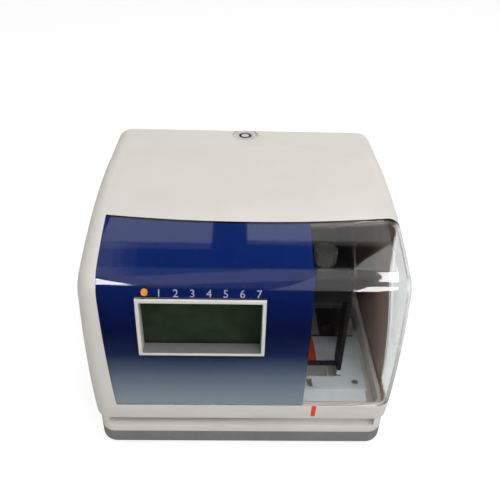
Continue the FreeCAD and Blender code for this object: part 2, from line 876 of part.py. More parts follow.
def make_tray():
    outer = rounded_block("tray_outer", ("-base_half", "base_half"), ("base_front", "base_rear"),
                          ("tray_z", "rim_z"), "base_corner")
    inside = rounded_block("tray_inside", ("-inner_half", "inner_half"),
                           ("pocket_front", "inner_rear"), ("table_z", "rim_z + overrun"),
                           "upstand_corner - upstand_wall")
    mouth = block("tray_mouth", ("-mouth_half", "mouth_half"),
                  ("base_front - overrun", "pocket_front + overrun"),
                  ("table_z", "rim_z + overrun"))
    below = rounded_block("tray_below", ("shell_wall - base_half", "base_half - shell_wall"),
                          ("base_front + shell_wall", "base_rear - shell_wall"),
                          ("tray_z - overrun", "table_z - tray_floor"),
                          "base_corner - shell_wall")
    parts = [cut("tray_blank", outer, inside, mouth, below), make_upstand()]
    parts += boss_rods("tray_boss", ("tray_z", "table_z - tray_floor"), "boss_radius")
    for side, x in (("left", ("-inner_half", "-throat_half")),
                    ("right", ("throat_half", "inner_half"))):
        parts.append(block(f"rail_{side}", x, ("pocket_front", "rail_rear"),
                           ("table_z", "seat_z")))
    parts.append(block("inlet_tab", ("inlet_offset - tab_half", "inlet_offset + tab_half"),
                       ("inner_rear", "base_rear"), ("rim_z", "tab_top")))
    holes = boss_rods("tray_boss_hole", ("tray_z - overrun", "table_z - tray_floor / 2"),
                      "base_screw_radius + hole_gap")
    holes.append(rod("inlet_hole", "y", ("inlet_offset", "inlet_z"),
                     ("inner_rear - overrun", "base_rear + overrun"), "inlet_radius + inlet_gap"))
    for number, (x, y) in enumerate(flange_screw_places()):
        holes.append(rod(f"tray_screw_hole_{number}", "z", (x, y),
                         ("table_z - tray_floor - overrun", "table_z + overrun"),
                         "flange_screw_radius + hole_gap"))
    holes.append(block("platen_recess", ("print_left", "print_right"),
                       ("print_front", "print_rear"),
                       ("table_z - platen_thickness", "table_z + overrun")))
    keep("base_tray", cut("tray", fuse("tray_walls", *parts), *holes))


def make_platen():
    keep("platen_pad", block("platen", ("print_left", "print_right"),
                             ("print_front", "print_rear"),
                             ("table_z - platen_thickness", "table_z")))


# Guide plate over the paper

def make_guide_plate():
    plate = new_body("plate")
    whole = ("-plate_half", "plate_half"), ("plate_front", "plate_rear")
    pad(plate, "XY_Plane", ("seat_z", "plate_top"), lambda s: draw_rectangle(s, *whole))
    ledge = (("ledge_edge_gap - plate_half", "plate_half - ledge_edge_gap"),
             ("ledge_front", "plate_front"))
    pad(plate, "XY_Plane", ("seat_z", "seat_z + ledge_thickness"),
        lambda s: draw_rectangle(s, *ledge))

    def draw_windows(sketch):
        draw_rectangle(sketch, ("print_left", "print_right"), ("print_front", "print_rear"))
        left = "print_right + slot_gap"
        right = "print_right + slot_gap + slot_width"
        tab = "print_right + slot_gap + slot_width + tab_length"
        draw_outline(sketch, [(left, "print_front"), (tab, "print_front"),
                              (tab, "print_front + tab_width"),
                              (right, "print_front + tab_width"),
                              (right, "print_rear"), (left, "print_rear")])
        draw_circle(sketch, "plate_half - plate_hole_inset",
                    "plate_front + plate_hole_setback", "plate_hole_radius")
        draw_circle(sketch, "plate_hole_inset - plate_half",
                    "plate_front + plate_hole_setback", "plate_hole_radius")
        draw_rectangle(sketch, ("notch_offset - notch_half", "notch_offset + notch_half"),
                       ("print_front - notch_clear - notch_length", "print_front - notch_clear"))
        draw_rectangle(sketch, ("trigger_offset - ear_inner", "trigger_offset + ear_inner"),
                       ("trigger_front", "trigger_y + trigger_swing"))
    pocket(plate, "XY_Plane", ("seat_z", "plate_top"), draw_windows)
    notch_corner = value("notch_offset - notch_half"), value("notch_offset + notch_half")
    round_edges(plate, "notch_round",
                lambda edge: is_upright(edge) and min(
                    abs(edge.Vertexes[0].Point.x - corner) for corner in notch_corner)
                < value("running_gap"))
    keep("guide_plate", plate)


def make_pointer():
    pointer = new_body("pointer_plate")
    outline = [("pointer_offset - pointer_width / 2", "print_rear"),
               ("pointer_offset + pointer_width / 2", "print_rear"),
               ("pointer_offset + pointer_tip / 2", "print_rear + pointer_length"),
               ("pointer_offset - pointer_tip / 2", "print_rear + pointer_length")]
    pad(pointer, "XY_Plane", ("plate_top", "plate_top + pointer_thickness"),
        lambda s: draw_outline(s, outline))
    keep("position_pointer", pointer)


# Sheet metal chassis

def flange_screw_places():
    return [(f"{sign}flange_x", y) for sign in ("-", "") for y in ("flange_front", "flange_rear")]


def make_chassis_side(node, outer, inner, flange):
    side = new_body(node + "_body")
    low, high = (inner, outer) if value(outer) > value(inner) else (outer, inner)
    outline = [("chassis_foot", "table_z"), ("chassis_rear", "table_z"),
               ("chassis_rear", "chassis_top - chassis_slope"),
               ("chassis_rear - chassis_slope", "chassis_top"),
               ("chassis_front + chassis_slope", "chassis_top"),
               ("chassis_front", "chassis_top - chassis_slope"),
               ("chassis_front", "chassis_notch"), ("chassis_foot", "chassis_notch")]
    pad(side, "YZ_Plane", (low, high), lambda s: draw_outline(s, outline))
    edge_low, edge_high = (flange, inner) if value(inner) > value(flange) else (inner, flange)
    pad(side, "XY_Plane", ("table_z", "flange_top"),
        lambda s: draw_rectangle(s, (edge_low, edge_high), ("chassis_foot", "chassis_rear")))

    def draw_shaft_holes(sketch):
        draw_circle(sketch, "front_shaft_y", "shaft_z", "shaft_radius")
        draw_circle(sketch, "rear_shaft_y", "shaft_z", "shaft_radius")
    pocket(side, "YZ_Plane", (low, high), draw_shaft_holes)

    def draw_screw_holes(sketch):
        for x, y in flange_screw_places():
            if value(x) * value(outer) > 0:
                draw_circle(sketch, x, y, "flange_screw_radius + hole_gap")
    pocket(side, "XY_Plane", ("table_z", "flange_top"), draw_screw_holes)
    keep(node, side)


def make_chassis():
    make_chassis_side("chassis_side_left", "-chassis_half", "-bay_half",
                      "chassis_flange - bay_half")
    make_chassis_side("chassis_side_right", "chassis_half", "bay_half",
                      "bay_half - chassis_flange")
    screws = []
    for number, (x, y) in enumerate(flange_screw_places()):
        head = rod(f"chassis_screw_head_{number}", "z", (x, y),
                   ("flange_top", "flange_top + chassis_screw_height"), "chassis_screw_head")
        shank = rod(f"chassis_screw_shank_{number}", "z", (x, y),
                    ("table_z - tray_floor", "flange_top"), "flange_screw_radius")
        screws.append(fuse(f"chassis_screw_{number}", head, shank))
    keep("chassis_screws", group("screws_above", *screws))
    for node, shaft_y in (("guide_shaft_front", "front_shaft_y"),
                          ("guide_shaft_rear", "rear_shaft_y")):
        keep(node, rod(node + "_bar", "x", (shaft_y, "shaft_z"),
                       ("-chassis_half - shaft_end", "chassis_half + shaft_end"), "shaft_radius"))


def make_rear_frame():
    frame = new_body("frame")
    whole = ("-bay_half", "bay_half"), ("frame_bottom", "frame_top")
    pad(frame, "XZ_Plane", ("frame_y", "frame_back"), lambda s: draw_rectangle(s, *whole))

    def draw_holes(sketch):
        draw_circle(sketch, "motor_x", "shaft_z", "motor_boss_radius + hole_gap")
        draw_circle(sketch, "idler_x", "shaft_z", "idler_pin_radius")
        for side in ("-", "+"):
            draw_circle(sketch, f"motor_x {side} motor_screw_reach", "shaft_z",
                        "flange_screw_radius + hole_gap")
    pocket(frame, "XZ_Plane", ("frame_y", "frame_back"), draw_holes)
    keep("rear_frame", frame)


# Carriage, print head and bushes

def make_carriage():
    block_body = new_body("carriage_block")
    whole = ("carriage_left", "carriage_right"), ("carriage_front", "carriage_rear")
    pad(block_body, "XY_Plane", ("carriage_bottom", "carriage_top"),
        lambda s: draw_rectangle(s, *whole))

    def draw_bores(sketch):
        draw_circle(sketch, "front_shaft_y", "shaft_z", "bush_radius")
        draw_circle(sketch, "rear_shaft_y", "shaft_z", "bush_radius")
    pocket(block_body, "YZ_Plane", ("carriage_left", "carriage_right"), draw_bores)
    keep("carriage_block", block_body)
    bushes = []
    for number, shaft_y in enumerate(("front_shaft_y", "rear_shaft_y")):
        sleeve = rod(f"bush_sleeve_{number}", "x", (shaft_y, "shaft_z"),
                     ("carriage_left - bush_flange", "carriage_right + bush_flange"),
                     "bush_radius")
        bore = rod(f"bush_bore_{number}", "x", (shaft_y, "shaft_z"),
                   ("carriage_left - bush_flange - overrun",
                    "carriage_right + bush_flange + overrun"), "bore_radius")
        bushes.append(cut(f"bush_{number}", sleeve, bore))
    keep("carriage_bushes", group("bushes", *bushes))
    left = "clamp_left"
    jaw = block("clamp_jaw", (left, "clamp_right"), ("carriage_rear", "belt_y + clamp_height / 2"),
                ("clamp_z - clamp_height / 2", "clamp_z + clamp_height / 2"))
    slot = block("clamp_slot", (f"{left} - overrun", "clamp_right + overrun"),
                 ("belt_y - belt_width / 2 - belt_gap", "belt_y + clamp_height / 2 + overrun"),
                 ("clamp_z - belt_thickness / 2 - belt_gap",
                  "clamp_z + belt_thickness / 2 + belt_gap"))
    keep("belt_clamp", cut("clamp", jaw, slot))


def make_print_head():
    head_x = ("carriage_x - head_width / 2", "carriage_x + head_width / 2")
    housing = block("head_housing", head_x, ("head_front", "carriage_front"),
                    ("head_bottom", "carriage_top"))
    nose = block("head_nose", ("carriage_x - nose_width / 2", "carriage_x + nose_width / 2"),
                 ("print_middle - nose_length / 2", "print_middle + nose_length / 2"),
                 ("nose_z", "head_bottom"))
    keep("print_head", fuse("head", housing, nose))
    plate = block("fin_plate", head_x, ("head_front - fin_thickness", "head_front"),
                  ("head_bottom", "carriage_top"))
    fins = []
    for row in range(SIZES["fin_rows"]):
        low = f"head_bottom + fin_pitch * {row} + fin_thickness"
        fins.append(block(f"fin_{row}", head_x, ("head_front - fin_depth", "head_front"),
                          (low, f"{low} + fin_thickness")))
    keep("head_heatsink", fuse("heatsink", plate, *fins))


# Belt drive

def make_pulley(node, x, bore):
    parts = [rod(node + "_rim", "y", (x, "shaft_z"), ("pulley_front", "pulley_back"),
                 "pulley_radius")]
    for side, low, high in (("front", "pulley_front", "pulley_front + flange_thickness"),
                            ("back", "pulley_back - flange_thickness", "pulley_back")):
        parts.append(rod(f"{node}_flange_{side}", "y", (x, "shaft_z"), (low, high),
                         "belt_outer + pulley_flange - belt_thickness"))
    hole = rod(node + "_bore", "y", (x, "shaft_z"),
               ("pulley_front - overrun", "pulley_back + overrun"), bore)
    keep(node, cut(node + "_wheel", fuse(node + "_blank", *parts), hole))


def make_drive():
    make_pulley("drive_pulley", "motor_x", "motor_shaft_radius")
    keep("motor_shaft", rod("motor_axle", "y", ("motor_x", "shaft_z"),
                            ("pulley_front - overrun", "frame_back + motor_length / 2"),
                            "motor_shaft_radius"))
    make_pulley("idler_pulley", "idler_x", "idler_pin_radius + running_gap")
    pin = rod("idler_pin_bar", "y", ("idler_x", "shaft_z"),
              ("pulley_front - idler_gap", "frame_back"), "idler_pin_radius")
    head = rod("idler_pin_head", "y", ("idler_x", "shaft_z"),
               ("pulley_front - idler_gap - pin_head_height", "pulley_front - idler_gap"),
               "pin_head_radius")
    spacer = rod("idler_pin_spacer", "y", ("idler_x", "shaft_z"),
                 ("pulley_back + idler_gap", "frame_y"), "pin_head_radius")
    keep("idler_pin", fuse("idler_axle", pin, head, spacer))
    can = rod("motor_can", "y", ("motor_x", "shaft_z"), ("frame_back", "motor_back"),
              "motor_radius")
    boss = rod("motor_boss", "y", ("motor_x", "shaft_z"),
               ("frame_back - motor_boss_height", "frame_back"), "motor_boss_radius")
    bore = rod("motor_bore", "y", ("motor_x", "shaft_z"),
               ("frame_back - motor_boss_height - overrun",
                "frame_back + motor_length / 2 + running_gap"),
               "motor_shaft_radius + running_gap")
    keep("drive_motor", cut("motor", fuse("motor_body", can, boss), bore))
    loops = []
    for name, radius in (("outer", "belt_outer"), ("inner", "belt_inner")):
        span = ("belt_y - belt_width / 2", "belt_y + belt_width / 2")
        loops.append(fuse(
            f"belt_{name}",
            rod(f"belt_{name}_motor", "y", ("motor_x", "shaft_z"), span, radius),
            rod(f"belt_{name}_idler", "y", ("idler_x", "shaft_z"), span, radius),
            block(f"belt_{name}_run", ("motor_x", "idler_x"), span,
                  (f"shaft_z - {radius}", f"shaft_z + {radius}"))))
    keep("drive_belt", cut("belt", *loops))


# Ribbon cassette on its shelf

def make_cassette():
    shelf = new_body("shelf")
    pad(shelf, "XY_Plane", ("shelf_z", "shelf_top"),
        lambda s: draw_rectangle(s, ("-bay_half", "bay_half"), ("shelf_front", "frame_y")))
    for edge in (("-bay_half", "shelf_thickness - bay_half"),
                 ("bay_half - shelf_thickness", "bay_half")):
        pad(shelf, "XY_Plane", ("shelf_z - shelf_flange", "shelf_z"),
            lambda s, edge=edge: draw_rectangle(s, edge, ("shelf_front", "frame_y")))
    keep("cassette_shelf", shelf)
    case = new_body("cassette_case")
    pad(case, "XY_Plane", ("shelf_top", "cassette_top"),
        lambda s: draw_rectangle(s, ("cassette_left", "cassette_right"),
                                 ("cassette_front", "cassette_rear")))
    round_edges(case, "cassette_round", is_upright)
    pocket(case, "XY_Plane", ("cassette_top - knob_stem_length - running_gap", "cassette_top"),
           lambda s: draw_circle(s, "knob_x", "knob_y", "knob_stem_radius + running_gap"))
    arm_y = "print_middle - arm_length / 2", "print_middle + arm_length / 2"
    arms = [block("cassette_arm_right", ("right_arm", "cassette_right"), arm_y,
                  ("arm_bottom", "shelf_top")),
            block("cassette_arm_left", ("left_arm - arm_thickness", "left_arm"), arm_y,
                  ("arm_bottom", "shelf_top"))]
    keep("ribbon_cassette", fuse("cassette", case, *arms))
    keep("ink_ribbon", block("ribbon", ("left_arm", "right_arm"),
                             ("print_middle - ribbon_width / 2", "print_middle + ribbon_width / 2"),
                             ("ribbon_z", "ribbon_z + ribbon_thickness")))
    grip = rod("knob_grip", "z", ("knob_x", "knob_y"), ("knob_z", "knob_z + knob_height"),
               "knob_radius")
    stem = rod("knob_stem", "z", ("knob_x", "knob_y"),
               ("cassette_top - knob_stem_length", "knob_z"), "knob_stem_radius")
    grooves = []
    for number in range(SIZES["knob_grooves"]):
        angle = f"360 / knob_grooves * {number}"
        centre = (f"knob_x + knob_radius * cos({angle})", f"knob_y + knob_radius * sin({angle})")
        grooves.append(rod(f"knob_groove_{number}", "z", centre,
                           ("knob_z - overrun", "knob_z + knob_height + overrun"),
                           "knob_groove_radius"))
    keep("ribbon_knob", fuse("knob", cut("knob_fluted", grip, *grooves), stem))


# Display, control board and set buttons

def make_display():
    frame = block("lcd_body", ("display_x - lcd_half_width", "display_x + lcd_half_width"),
                  ("inner_front", "board_front"),
                  ("display_z - lcd_half_height", "display_z + lcd_half_height"))
    glass_x = "display_x - glass_half_width", "display_x + glass_half_width"
    glass_z = "display_z - glass_half_height", "display_z + glass_half_height"
    recess = block("lcd_recess", glass_x, ("inner_front - overrun", "inner_front + glass_depth"),
                   glass_z)
    keep("lcd_frame", cut("lcd_housing", frame, recess))
    keep("lcd_glass", block("glass", glass_x, ("inner_front", "inner_front + glass_depth"),
                            glass_z))
    keep("control_board", block("board", ("board_left", "board_right"),
                                ("board_front", "board_back"), ("board_bottom", "board_top")))
    panel = block("panel_sheet", ("board_left", "board_right"), ("board_back", "panel_back"),
                  ("board_bottom", "board_top"))
    arms = []
    for number, low in enumerate(("board_left + panel_arm_inset",
                                  "board_right - panel_arm_inset - panel_arm_width")):
        arms.append(block(f"panel_arm_{number}", (low, f"{low} + panel_arm_width"),
                          ("panel_back", "shelf_front + panel_arm_lap"),
                          ("shelf_z - panel_arm_height", "shelf_z")))
    keep("display_panel", fuse("panel", panel, *arms))
    keep("indicator_led", rod("led", "y", ("lens_x", "led_z"),
                              ("inner_front + led_gap", "board_front"), "led_radius"))


def make_buttons():
    bases = []
    for number, node in enumerate(("select_button", "change_button", "set_button")):
        x = f"display_x + button_pitch * {number - 1}"
        base = block(f"{node}_switch", (f"{x} - switch_size / 2", f"{x} + switch_size / 2"),
                     ("switch_front", "board_front"),
                     ("button_z - switch_size / 2", "button_z + switch_size / 2"))
        bore = rod(f"{node}_bore", "y", (x, "button_z"),
                   ("switch_front - overrun", "board_front + overrun"),
                   "button_radius + button_gap")
        bases.append(cut(f"{node}_base", base, bore))
        head_back = "switch_front - button_travel - button_gap"
        head = rod(f"{node}_head", "y", (x, "button_z"),
                   (f"{head_back} - button_head_depth", head_back), "button_head_radius")
        stem = rod(f"{node}_stem", "y", (x, "button_z"),
                   (head_back, "board_front - button_travel - button_gap"), "button_radius")
        keep(node, fuse(f"{node}_cap", head, stem))
    keep("button_switches", group("switches", *bases))


# Paper trigger, its pin and its switch

def make_trigger():
    centre = "trigger_y", "trigger_z"
    half = "trigger_width / 2"
    hub_x = f"trigger_offset - {half}", f"trigger_offset + {half}"
    hub = rod("trigger_hub_bar", "x", centre, hub_x, "trigger_hub")
    blade = block("trigger_blade_bar", hub_x,
                  ("trigger_y - trigger_blade / 2", "trigger_y + trigger_blade / 2"),
                  ("table_z + trigger_tip_gap", "trigger_z"))
    bore = rod("trigger_bore", "x", centre,
               (f"trigger_offset - {half} - overrun", f"trigger_offset + {half} + overrun"),
               "trigger_pin_radius + running_gap")
    keep("paper_trigger", cut("trigger", fuse("trigger_blank", hub, blade), bore))
    ears = []
    for side, low, high in (("left", "trigger_offset - ear_outer", "trigger_offset - ear_inner"),
                            ("right", "trigger_offset + ear_inner", "trigger_offset + ear_outer")):
        top = rod(f"ear_top_{side}", "x", centre, (low, high), "ear_radius")
        foot = block(f"ear_foot_{side}", (low, high),
                     ("trigger_y - ear_radius", "trigger_y + ear_radius"),
                     ("plate_top", "trigger_z"))
        hole = rod(f"ear_hole_{side}", "x", centre, (f"{low} - overrun", f"{high} + overrun"),
                   "trigger_pin_radius")
        ears.append(cut(f"ear_{side}", fuse(f"ear_blank_{side}", top, foot), hole))
    keep("trigger_bracket", group("trigger_ears", *ears))
    keep("trigger_pin", rod("trigger_pin_bar", "x", centre,
                            ("trigger_offset - ear_outer", "trigger_offset + ear_outer"),
                            "trigger_pin_radius"))
    keep("trigger_switch", block("microswitch", hub_x,
                                 ("microswitch_y", "microswitch_y + microswitch_length"),
                                 ("plate_top", "plate_top + microswitch_height")))
    keep("paper_stop", block("stop", ("-throat_half", "throat_half"),
                             ("plate_rear", "plate_rear + stop_length"),
                             ("table_z", "seat_z - stop_gap")))


# Electronics behind the chassis

def make_electronics():
    board_x = "main_board_x", "main_board_end"
    board_y = "main_board_front", "main_board_rear"
    keep("main_board", block("logic_board", board_x, board_y, ("post_top", "main_board_top")))
    posts = []
    for x in ("main_board_x + post_inset", "main_board_end - post_inset"):
        for y in ("main_board_front + post_inset", "main_board_rear - post_inset"):
            posts.append(rod(f"post_{len(posts)}", "z", (x, y), ("table_z", "post_top"),
                             "post_radius"))
    keep("board_posts", group("posts", *posts))
    chips = []
    chip_y = "main_board_front + post_inset", "main_board_front + post_inset + chip_size"
    for low in ("chip_first", "(chip_first + chip_last) / 2", "chip_last"):
        chips.append(block(f"chip_{len(chips)}", (low, f"{low} + chip_size"), chip_y,
                           ("main_board_top", "main_board_top + chip_height")))
    cans = []
    first_can = "main_board_x + post_inset + capacitor_radius"
    for x in (first_can, f"{first_can} + capacitor_radius * 2 + capacitor_gap"):
        cans.append(rod(f"capacitor_{len(cans)}", "z",
                        (x, "main_board_rear - post_inset - capacitor_radius"),
                        ("main_board_top", "main_board_top + capacitor_height"),
                        "capacitor_radius"))
    plug_low = "main_board_end - post_inset - connector_length"
    plug = block("board_connector", (plug_low, f"{plug_low} + connector_length"),
                 ("main_board_rear - connector_width * 2", "main_board_rear - connector_width"),
                 ("main_board_top", "main_board_top + connector_height"))
    keep("board_components", group("components", *chips, *cans, plug))


def make_battery():
    cells = []
    for number, x in enumerate(("cell_x", "second_cell_x")):
        cells.append(rod(f"cell_{number}", "y", (x, "cell_z"), ("cell_front", "cell_rear"),
                         "cell_radius - running_gap"))
    keep("backup_cells", group("cells", *cells))
    tub = block("holder_tub", ("holder_left", "holder_right"), ("holder_front", "holder_rear"),
                ("table_z", "cell_z + holder_height - cell_radius"))
    inside = block("holder_inside", ("holder_left + holder_wall", "holder_right - holder_wall"),
                   ("holder_front + holder_wall", "holder_rear - holder_wall"),
                   ("table_z + holder_wall", "cell_z + holder_height"))
    keep("cell_holder", cut("holder", tub, inside))


def make_inlet():
    socket = block("inlet_body", ("inlet_offset - inlet_width / 2", "inlet_offset + inlet_width / 2"),
                   ("inlet_front", "inner_rear"), ("table_z", "inlet_top"))
    bore = rod("inlet_bore", "y", ("inlet_offset", "inlet_z"),
               ("inner_rear - inlet_depth", "inner_rear + overrun"), "inlet_radius")
    keep("power_inlet", cut("inlet", socket, bore))


# Lock striker on the chassis

def make_striker():
    strap = new_body("striker")
    half = "-striker_width / 2", "striker_width / 2"
    pad(strap, "XZ_Plane", ("frame_back", "frame_back + striker_thickness"),
        lambda s: draw_rectangle(s, half, ("striker_foot_z", "striker_top")))
    pad(strap, "XY_Plane", ("striker_z", "striker_top"),
        lambda s: draw_rectangle(s, half, ("frame_back + striker_thickness", "striker_end")))
    keep("lock_striker", strap)


# Cover, window, label and bezel

def make_cover():
    outer = form_feature("outer_form", "0")
    inner = form_feature("inner_form", "case_wall")
    glass_back = form_feature("window_back_form", "window_thickness")
    label_back = form_feature("label_back_form", "window_thickness + label_thickness")
    proud = form_feature("proud_form", "-bezel_proud")

    def window_region(name, margin):
        """The part of the case that the window takes, with its slanted left edge.

        Its rear edge follows one large arc over the crown and one down the right side.
        """
        region = new_body(name + "_front")
        far = "(case_width / 2 + overrun)"
        top = "case_height + overrun"
        low = f"window_margin_low - case_width / 2 + {margin}"
        high = f"window_margin_high - case_width / 2 + {margin}"
        outline = [(low, f"sill_z + {margin}"), (far, f"sill_z + {margin}"), (far, top),
                   (high, top)]
        pad(region, "XZ_Plane", ("front_y - overrun", "window_side_y"),
            lambda s: draw_outline(s, outline))
        beside = rod(name + "_side", "x", ("window_side_y", "sill_z"), (f"-{far}", far),
                     f"window_side_radius + {margin}")
        behind = rod(name + "_rear", "z", ("0", "window_rear_y"), ("seat_z", f"{top} + overrun"),
                     f"window_rear_radius + {margin}")
        return cut(name, region, beside, behind)

    opening = window_region("window_opening", "0")
    seat = window_region("window_seat", "window_gap")
    clear = window_region("window_clear", "window_ledge")
    opening_layer = cut("opening_layer", opening, label_back)
    inlet_notch = block("inlet_notch",
                        ("inlet_offset - tab_half - inlet_gap", "inlet_offset + tab_half + inlet_gap"),
                        ("rear_y - case_wall - overrun", "rear_y + overrun"),
                        ("seat_z - overrun", "tab_top + inlet_gap"))
    lock_hole = rod("lock_hole", "z", ("0", "lock_y"),
                    ("nut_top - overrun", "case_height + overrun"), "barrel_radius + hole_gap")
    lock_pocket = rod("lock_pocket", "z", ("0", "lock_y"),
                      ("lock_head_z", "case_height + overrun"), "lock_head_radius + hole_gap")
    shell = cut("cover_shell", outer, inner, opening_layer, clear, inlet_notch)
    lock_boss = common("lock_boss", outer, rod("lock_boss_bar", "z", ("0", "lock_y"),
                                               ("nut_top", "case_height"), "lock_boss_radius"))
    keep("top_cover", cut("cover", fuse("cover_with_boss", shell, lock_boss), lock_hole,
                          lock_pocket))

    def bezel_hole(name, gap):
        half_width = f"(bezel_width / 2 + {gap})"
        half_height = f"(bezel_height / 2 + {gap})"
        return block(name, (f"display_x - {half_width}", f"display_x + {half_width}"),
                     ("front_y - overrun", "inner_front - bezel_back_gap"),
                     (f"display_z - {half_height}", f"display_z + {half_height}"))

    def lens_hole(name, gap):
        return rod(name, "y", ("lens_x", "lens_z"), ("front_y - overrun", "front_y + window_reach"),
                   f"lens_radius + {gap}")

    window_layer = cut("window_layer", common("window_blank", outer, seat), glass_back)
    keep("front_window", cut("window", window_layer, bezel_hole("window_bezel_hole", "bezel_gap"),
                             lens_hole("window_lens_hole", "hole_gap")))
    label_side = block("label_side", ("-case_width / 2", "label_end"),
                       ("front_y - overrun", "rear_y"), ("seat_z", "case_height"))
    label_zone = common("label_zone", seat, label_side)
    label_layer = cut("label_layer", common("label_blank", glass_back, label_zone), label_back)
    keep("front_label", cut("label", label_layer, bezel_hole("label_bezel_hole", "bezel_gap"),
                            lens_hole("label_lens_hole", "hole_gap")))
    bezel_block = bezel_hole("bezel_block", "0")
    bezel_inside = block("bezel_inside",
                         ("display_x - bezel_width / 2 + bezel_border",
                          "display_x + bezel_width / 2 - bezel_border"),
                         ("front_y - bezel_proud - overrun", "front_y + window_reach"),
                         ("display_z - bezel_height / 2 + bezel_border",
                          "display_z + bezel_height / 2 - bezel_border"))
    keep("display_bezel", cut("bezel", common("bezel_blank", proud, bezel_block), bezel_inside))
    lens_bar = rod("lens_bar", "y", ("lens_x", "lens_z"),
                   ("front_y - overrun", "front_y + window_reach"), "lens_radius")
    lens_front = form_feature("lens_front_form", "-lens_proud")
    lens_back = form_feature("lens_back_form", "lens_depth")
    keep("indicator_lens", cut("lens", common("lens_blank", lens_front, lens_bar), lens_back))
    mark_region = new_body("mark_region")
    pad(mark_region, "XZ_Plane", ("front_y - overrun", "front_y + bulge_reach + case_wall"),
        lambda s: draw_rectangle(
            s, ("mark_offset - mark_width / 2", "mark_offset + mark_width / 2"),
            ("sill_z - mark_drop - mark_height", "sill_z - mark_drop")))
    mark_front = form_feature("mark_front_form", "-mark_proud")
    keep("position_mark", cut("mark", common("mark_blank", mark_front, mark_region), outer))


# Tubular key lock in the cover

def make_lock():
    centre = "0", "lock_y"
    head = rod("lock_head", "z", centre, ("lock_head_z", "lock_top"), "lock_head_radius")
    barrel = rod("lock_tube", "z", centre, ("barrel_z", "lock_head_z"), "barrel_radius")
    bore = rod("lock_bore", "z", centre, ("barrel_z - overrun", "lock_top + overrun"),
               "plug_bore")
    keep("lock_barrel", cut("barrel", fuse("barrel_blank", head, barrel), bore))
    nut = rod("nut_disc", "z", centre, ("nut_top - lock_nut_height", "nut_top"),
              "lock_nut_radius")
    nut_bore = rod("nut_bore", "z", centre,
                   ("nut_top - lock_nut_height - overrun", "nut_top + overrun"),
                   "barrel_radius")
    keep("lock_nut", cut("nut", nut, nut_bore))
    plug = rod("plug_bar", "z", centre, ("barrel_z", "lock_top"), "plug_radius")
    ring = cut("keyway_ring",
               rod("keyway_outside", "z", centre,
                   ("lock_top - keyway_depth", "lock_top + overrun"), "keyway_outer"),
               rod("keyway_core", "z", centre,
                   ("lock_top - keyway_depth - overrun", "lock_top + overrun * 2"),
                   "keyway_inner"))
    notch = block("keyway_slot", ("-keyway_notch / 2", "keyway_notch / 2"),
                  ("lock_y + keyway_inner", "lock_y + plug_radius + overrun"),
                  ("lock_top - keyway_depth / 2", "lock_top + overrun"))
    keep("lock_plug", cut("plug", plug, ring, notch))
    cam_body = new_body("cam")
    half = "cam_width / 2"
    pad(cam_body, "XY_Plane", ("cam_z", "barrel_z"),
        lambda s: draw_rectangle(s, (f"-{half}", "cam_length"),
                                 (f"lock_y - {half}", f"lock_y + {half}")))
    round_edges(cam_body, "cam_round", is_upright)
    keep("lock_cam", cam_body)
    keep("cam_screw", rod("cam_screw_head", "z", centre, ("cam_z - cam_screw_height", "cam_z"),
                          "cam_screw_radius"))


def check_document():
    doc.recompute()
    for item in doc.Objects:
        if any(state in ("Invalid", "Error") for state in item.State):
            raise RuntimeError(f"{item.Name} did not compute")
    for piece in PIECES:
        if piece.Shape.isNull() or not piece.Shape.isValid() or not piece.Shape.Solids:
            raise RuntimeError(f"{piece.Label} has no valid solid")


def write_pieces():
    os.makedirs("parts", exist_ok=True)
    for piece in PIECES:
        piece.Shape.exportStep(f"parts/{piece.Label}.step")
        print(piece.Label, len(piece.Shape.Solids), round(piece.Shape.Volume, 1))


make_feet()
make_base_shell()
make_base_screws()
make_tray()
make_platen()
make_guide_plate()
make_pointer()
make_chassis()
make_rear_frame()
make_carriage()
make_print_head()
make_drive()
make_cassette()
make_display()
make_buttons()
make_trigger()
make_electronics()
make_battery()
make_inlet()
make_striker()
make_cover()
make_lock()
check_document()
write_pieces()
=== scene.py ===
import json
import math

import bpy
from mathutils import Matrix, Vector

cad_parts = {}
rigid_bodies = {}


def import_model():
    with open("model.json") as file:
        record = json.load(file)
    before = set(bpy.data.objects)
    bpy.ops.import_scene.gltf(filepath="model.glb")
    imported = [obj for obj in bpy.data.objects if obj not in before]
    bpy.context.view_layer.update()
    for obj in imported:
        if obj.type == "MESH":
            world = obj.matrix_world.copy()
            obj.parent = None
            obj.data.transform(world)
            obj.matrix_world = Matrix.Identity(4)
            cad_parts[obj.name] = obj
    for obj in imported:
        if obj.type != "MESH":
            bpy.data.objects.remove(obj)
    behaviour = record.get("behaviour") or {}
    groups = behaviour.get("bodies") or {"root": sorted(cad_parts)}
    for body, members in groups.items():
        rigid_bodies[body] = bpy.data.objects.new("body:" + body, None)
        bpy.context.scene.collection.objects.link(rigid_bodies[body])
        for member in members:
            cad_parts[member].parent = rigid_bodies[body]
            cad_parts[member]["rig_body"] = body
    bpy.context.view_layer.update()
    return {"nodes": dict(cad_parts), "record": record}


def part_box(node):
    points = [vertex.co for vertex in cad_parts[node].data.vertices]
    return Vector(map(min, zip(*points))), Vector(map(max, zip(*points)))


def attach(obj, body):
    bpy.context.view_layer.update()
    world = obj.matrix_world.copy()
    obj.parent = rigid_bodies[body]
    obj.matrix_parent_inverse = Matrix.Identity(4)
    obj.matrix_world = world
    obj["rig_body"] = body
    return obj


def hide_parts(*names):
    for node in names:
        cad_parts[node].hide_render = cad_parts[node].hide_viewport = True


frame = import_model()

# Looks of a date and time stamp machine. Metres, +Z up, front towards -Y.

NODES = frame["nodes"]
MM = 0.001

# Soft edges of the pieces that show

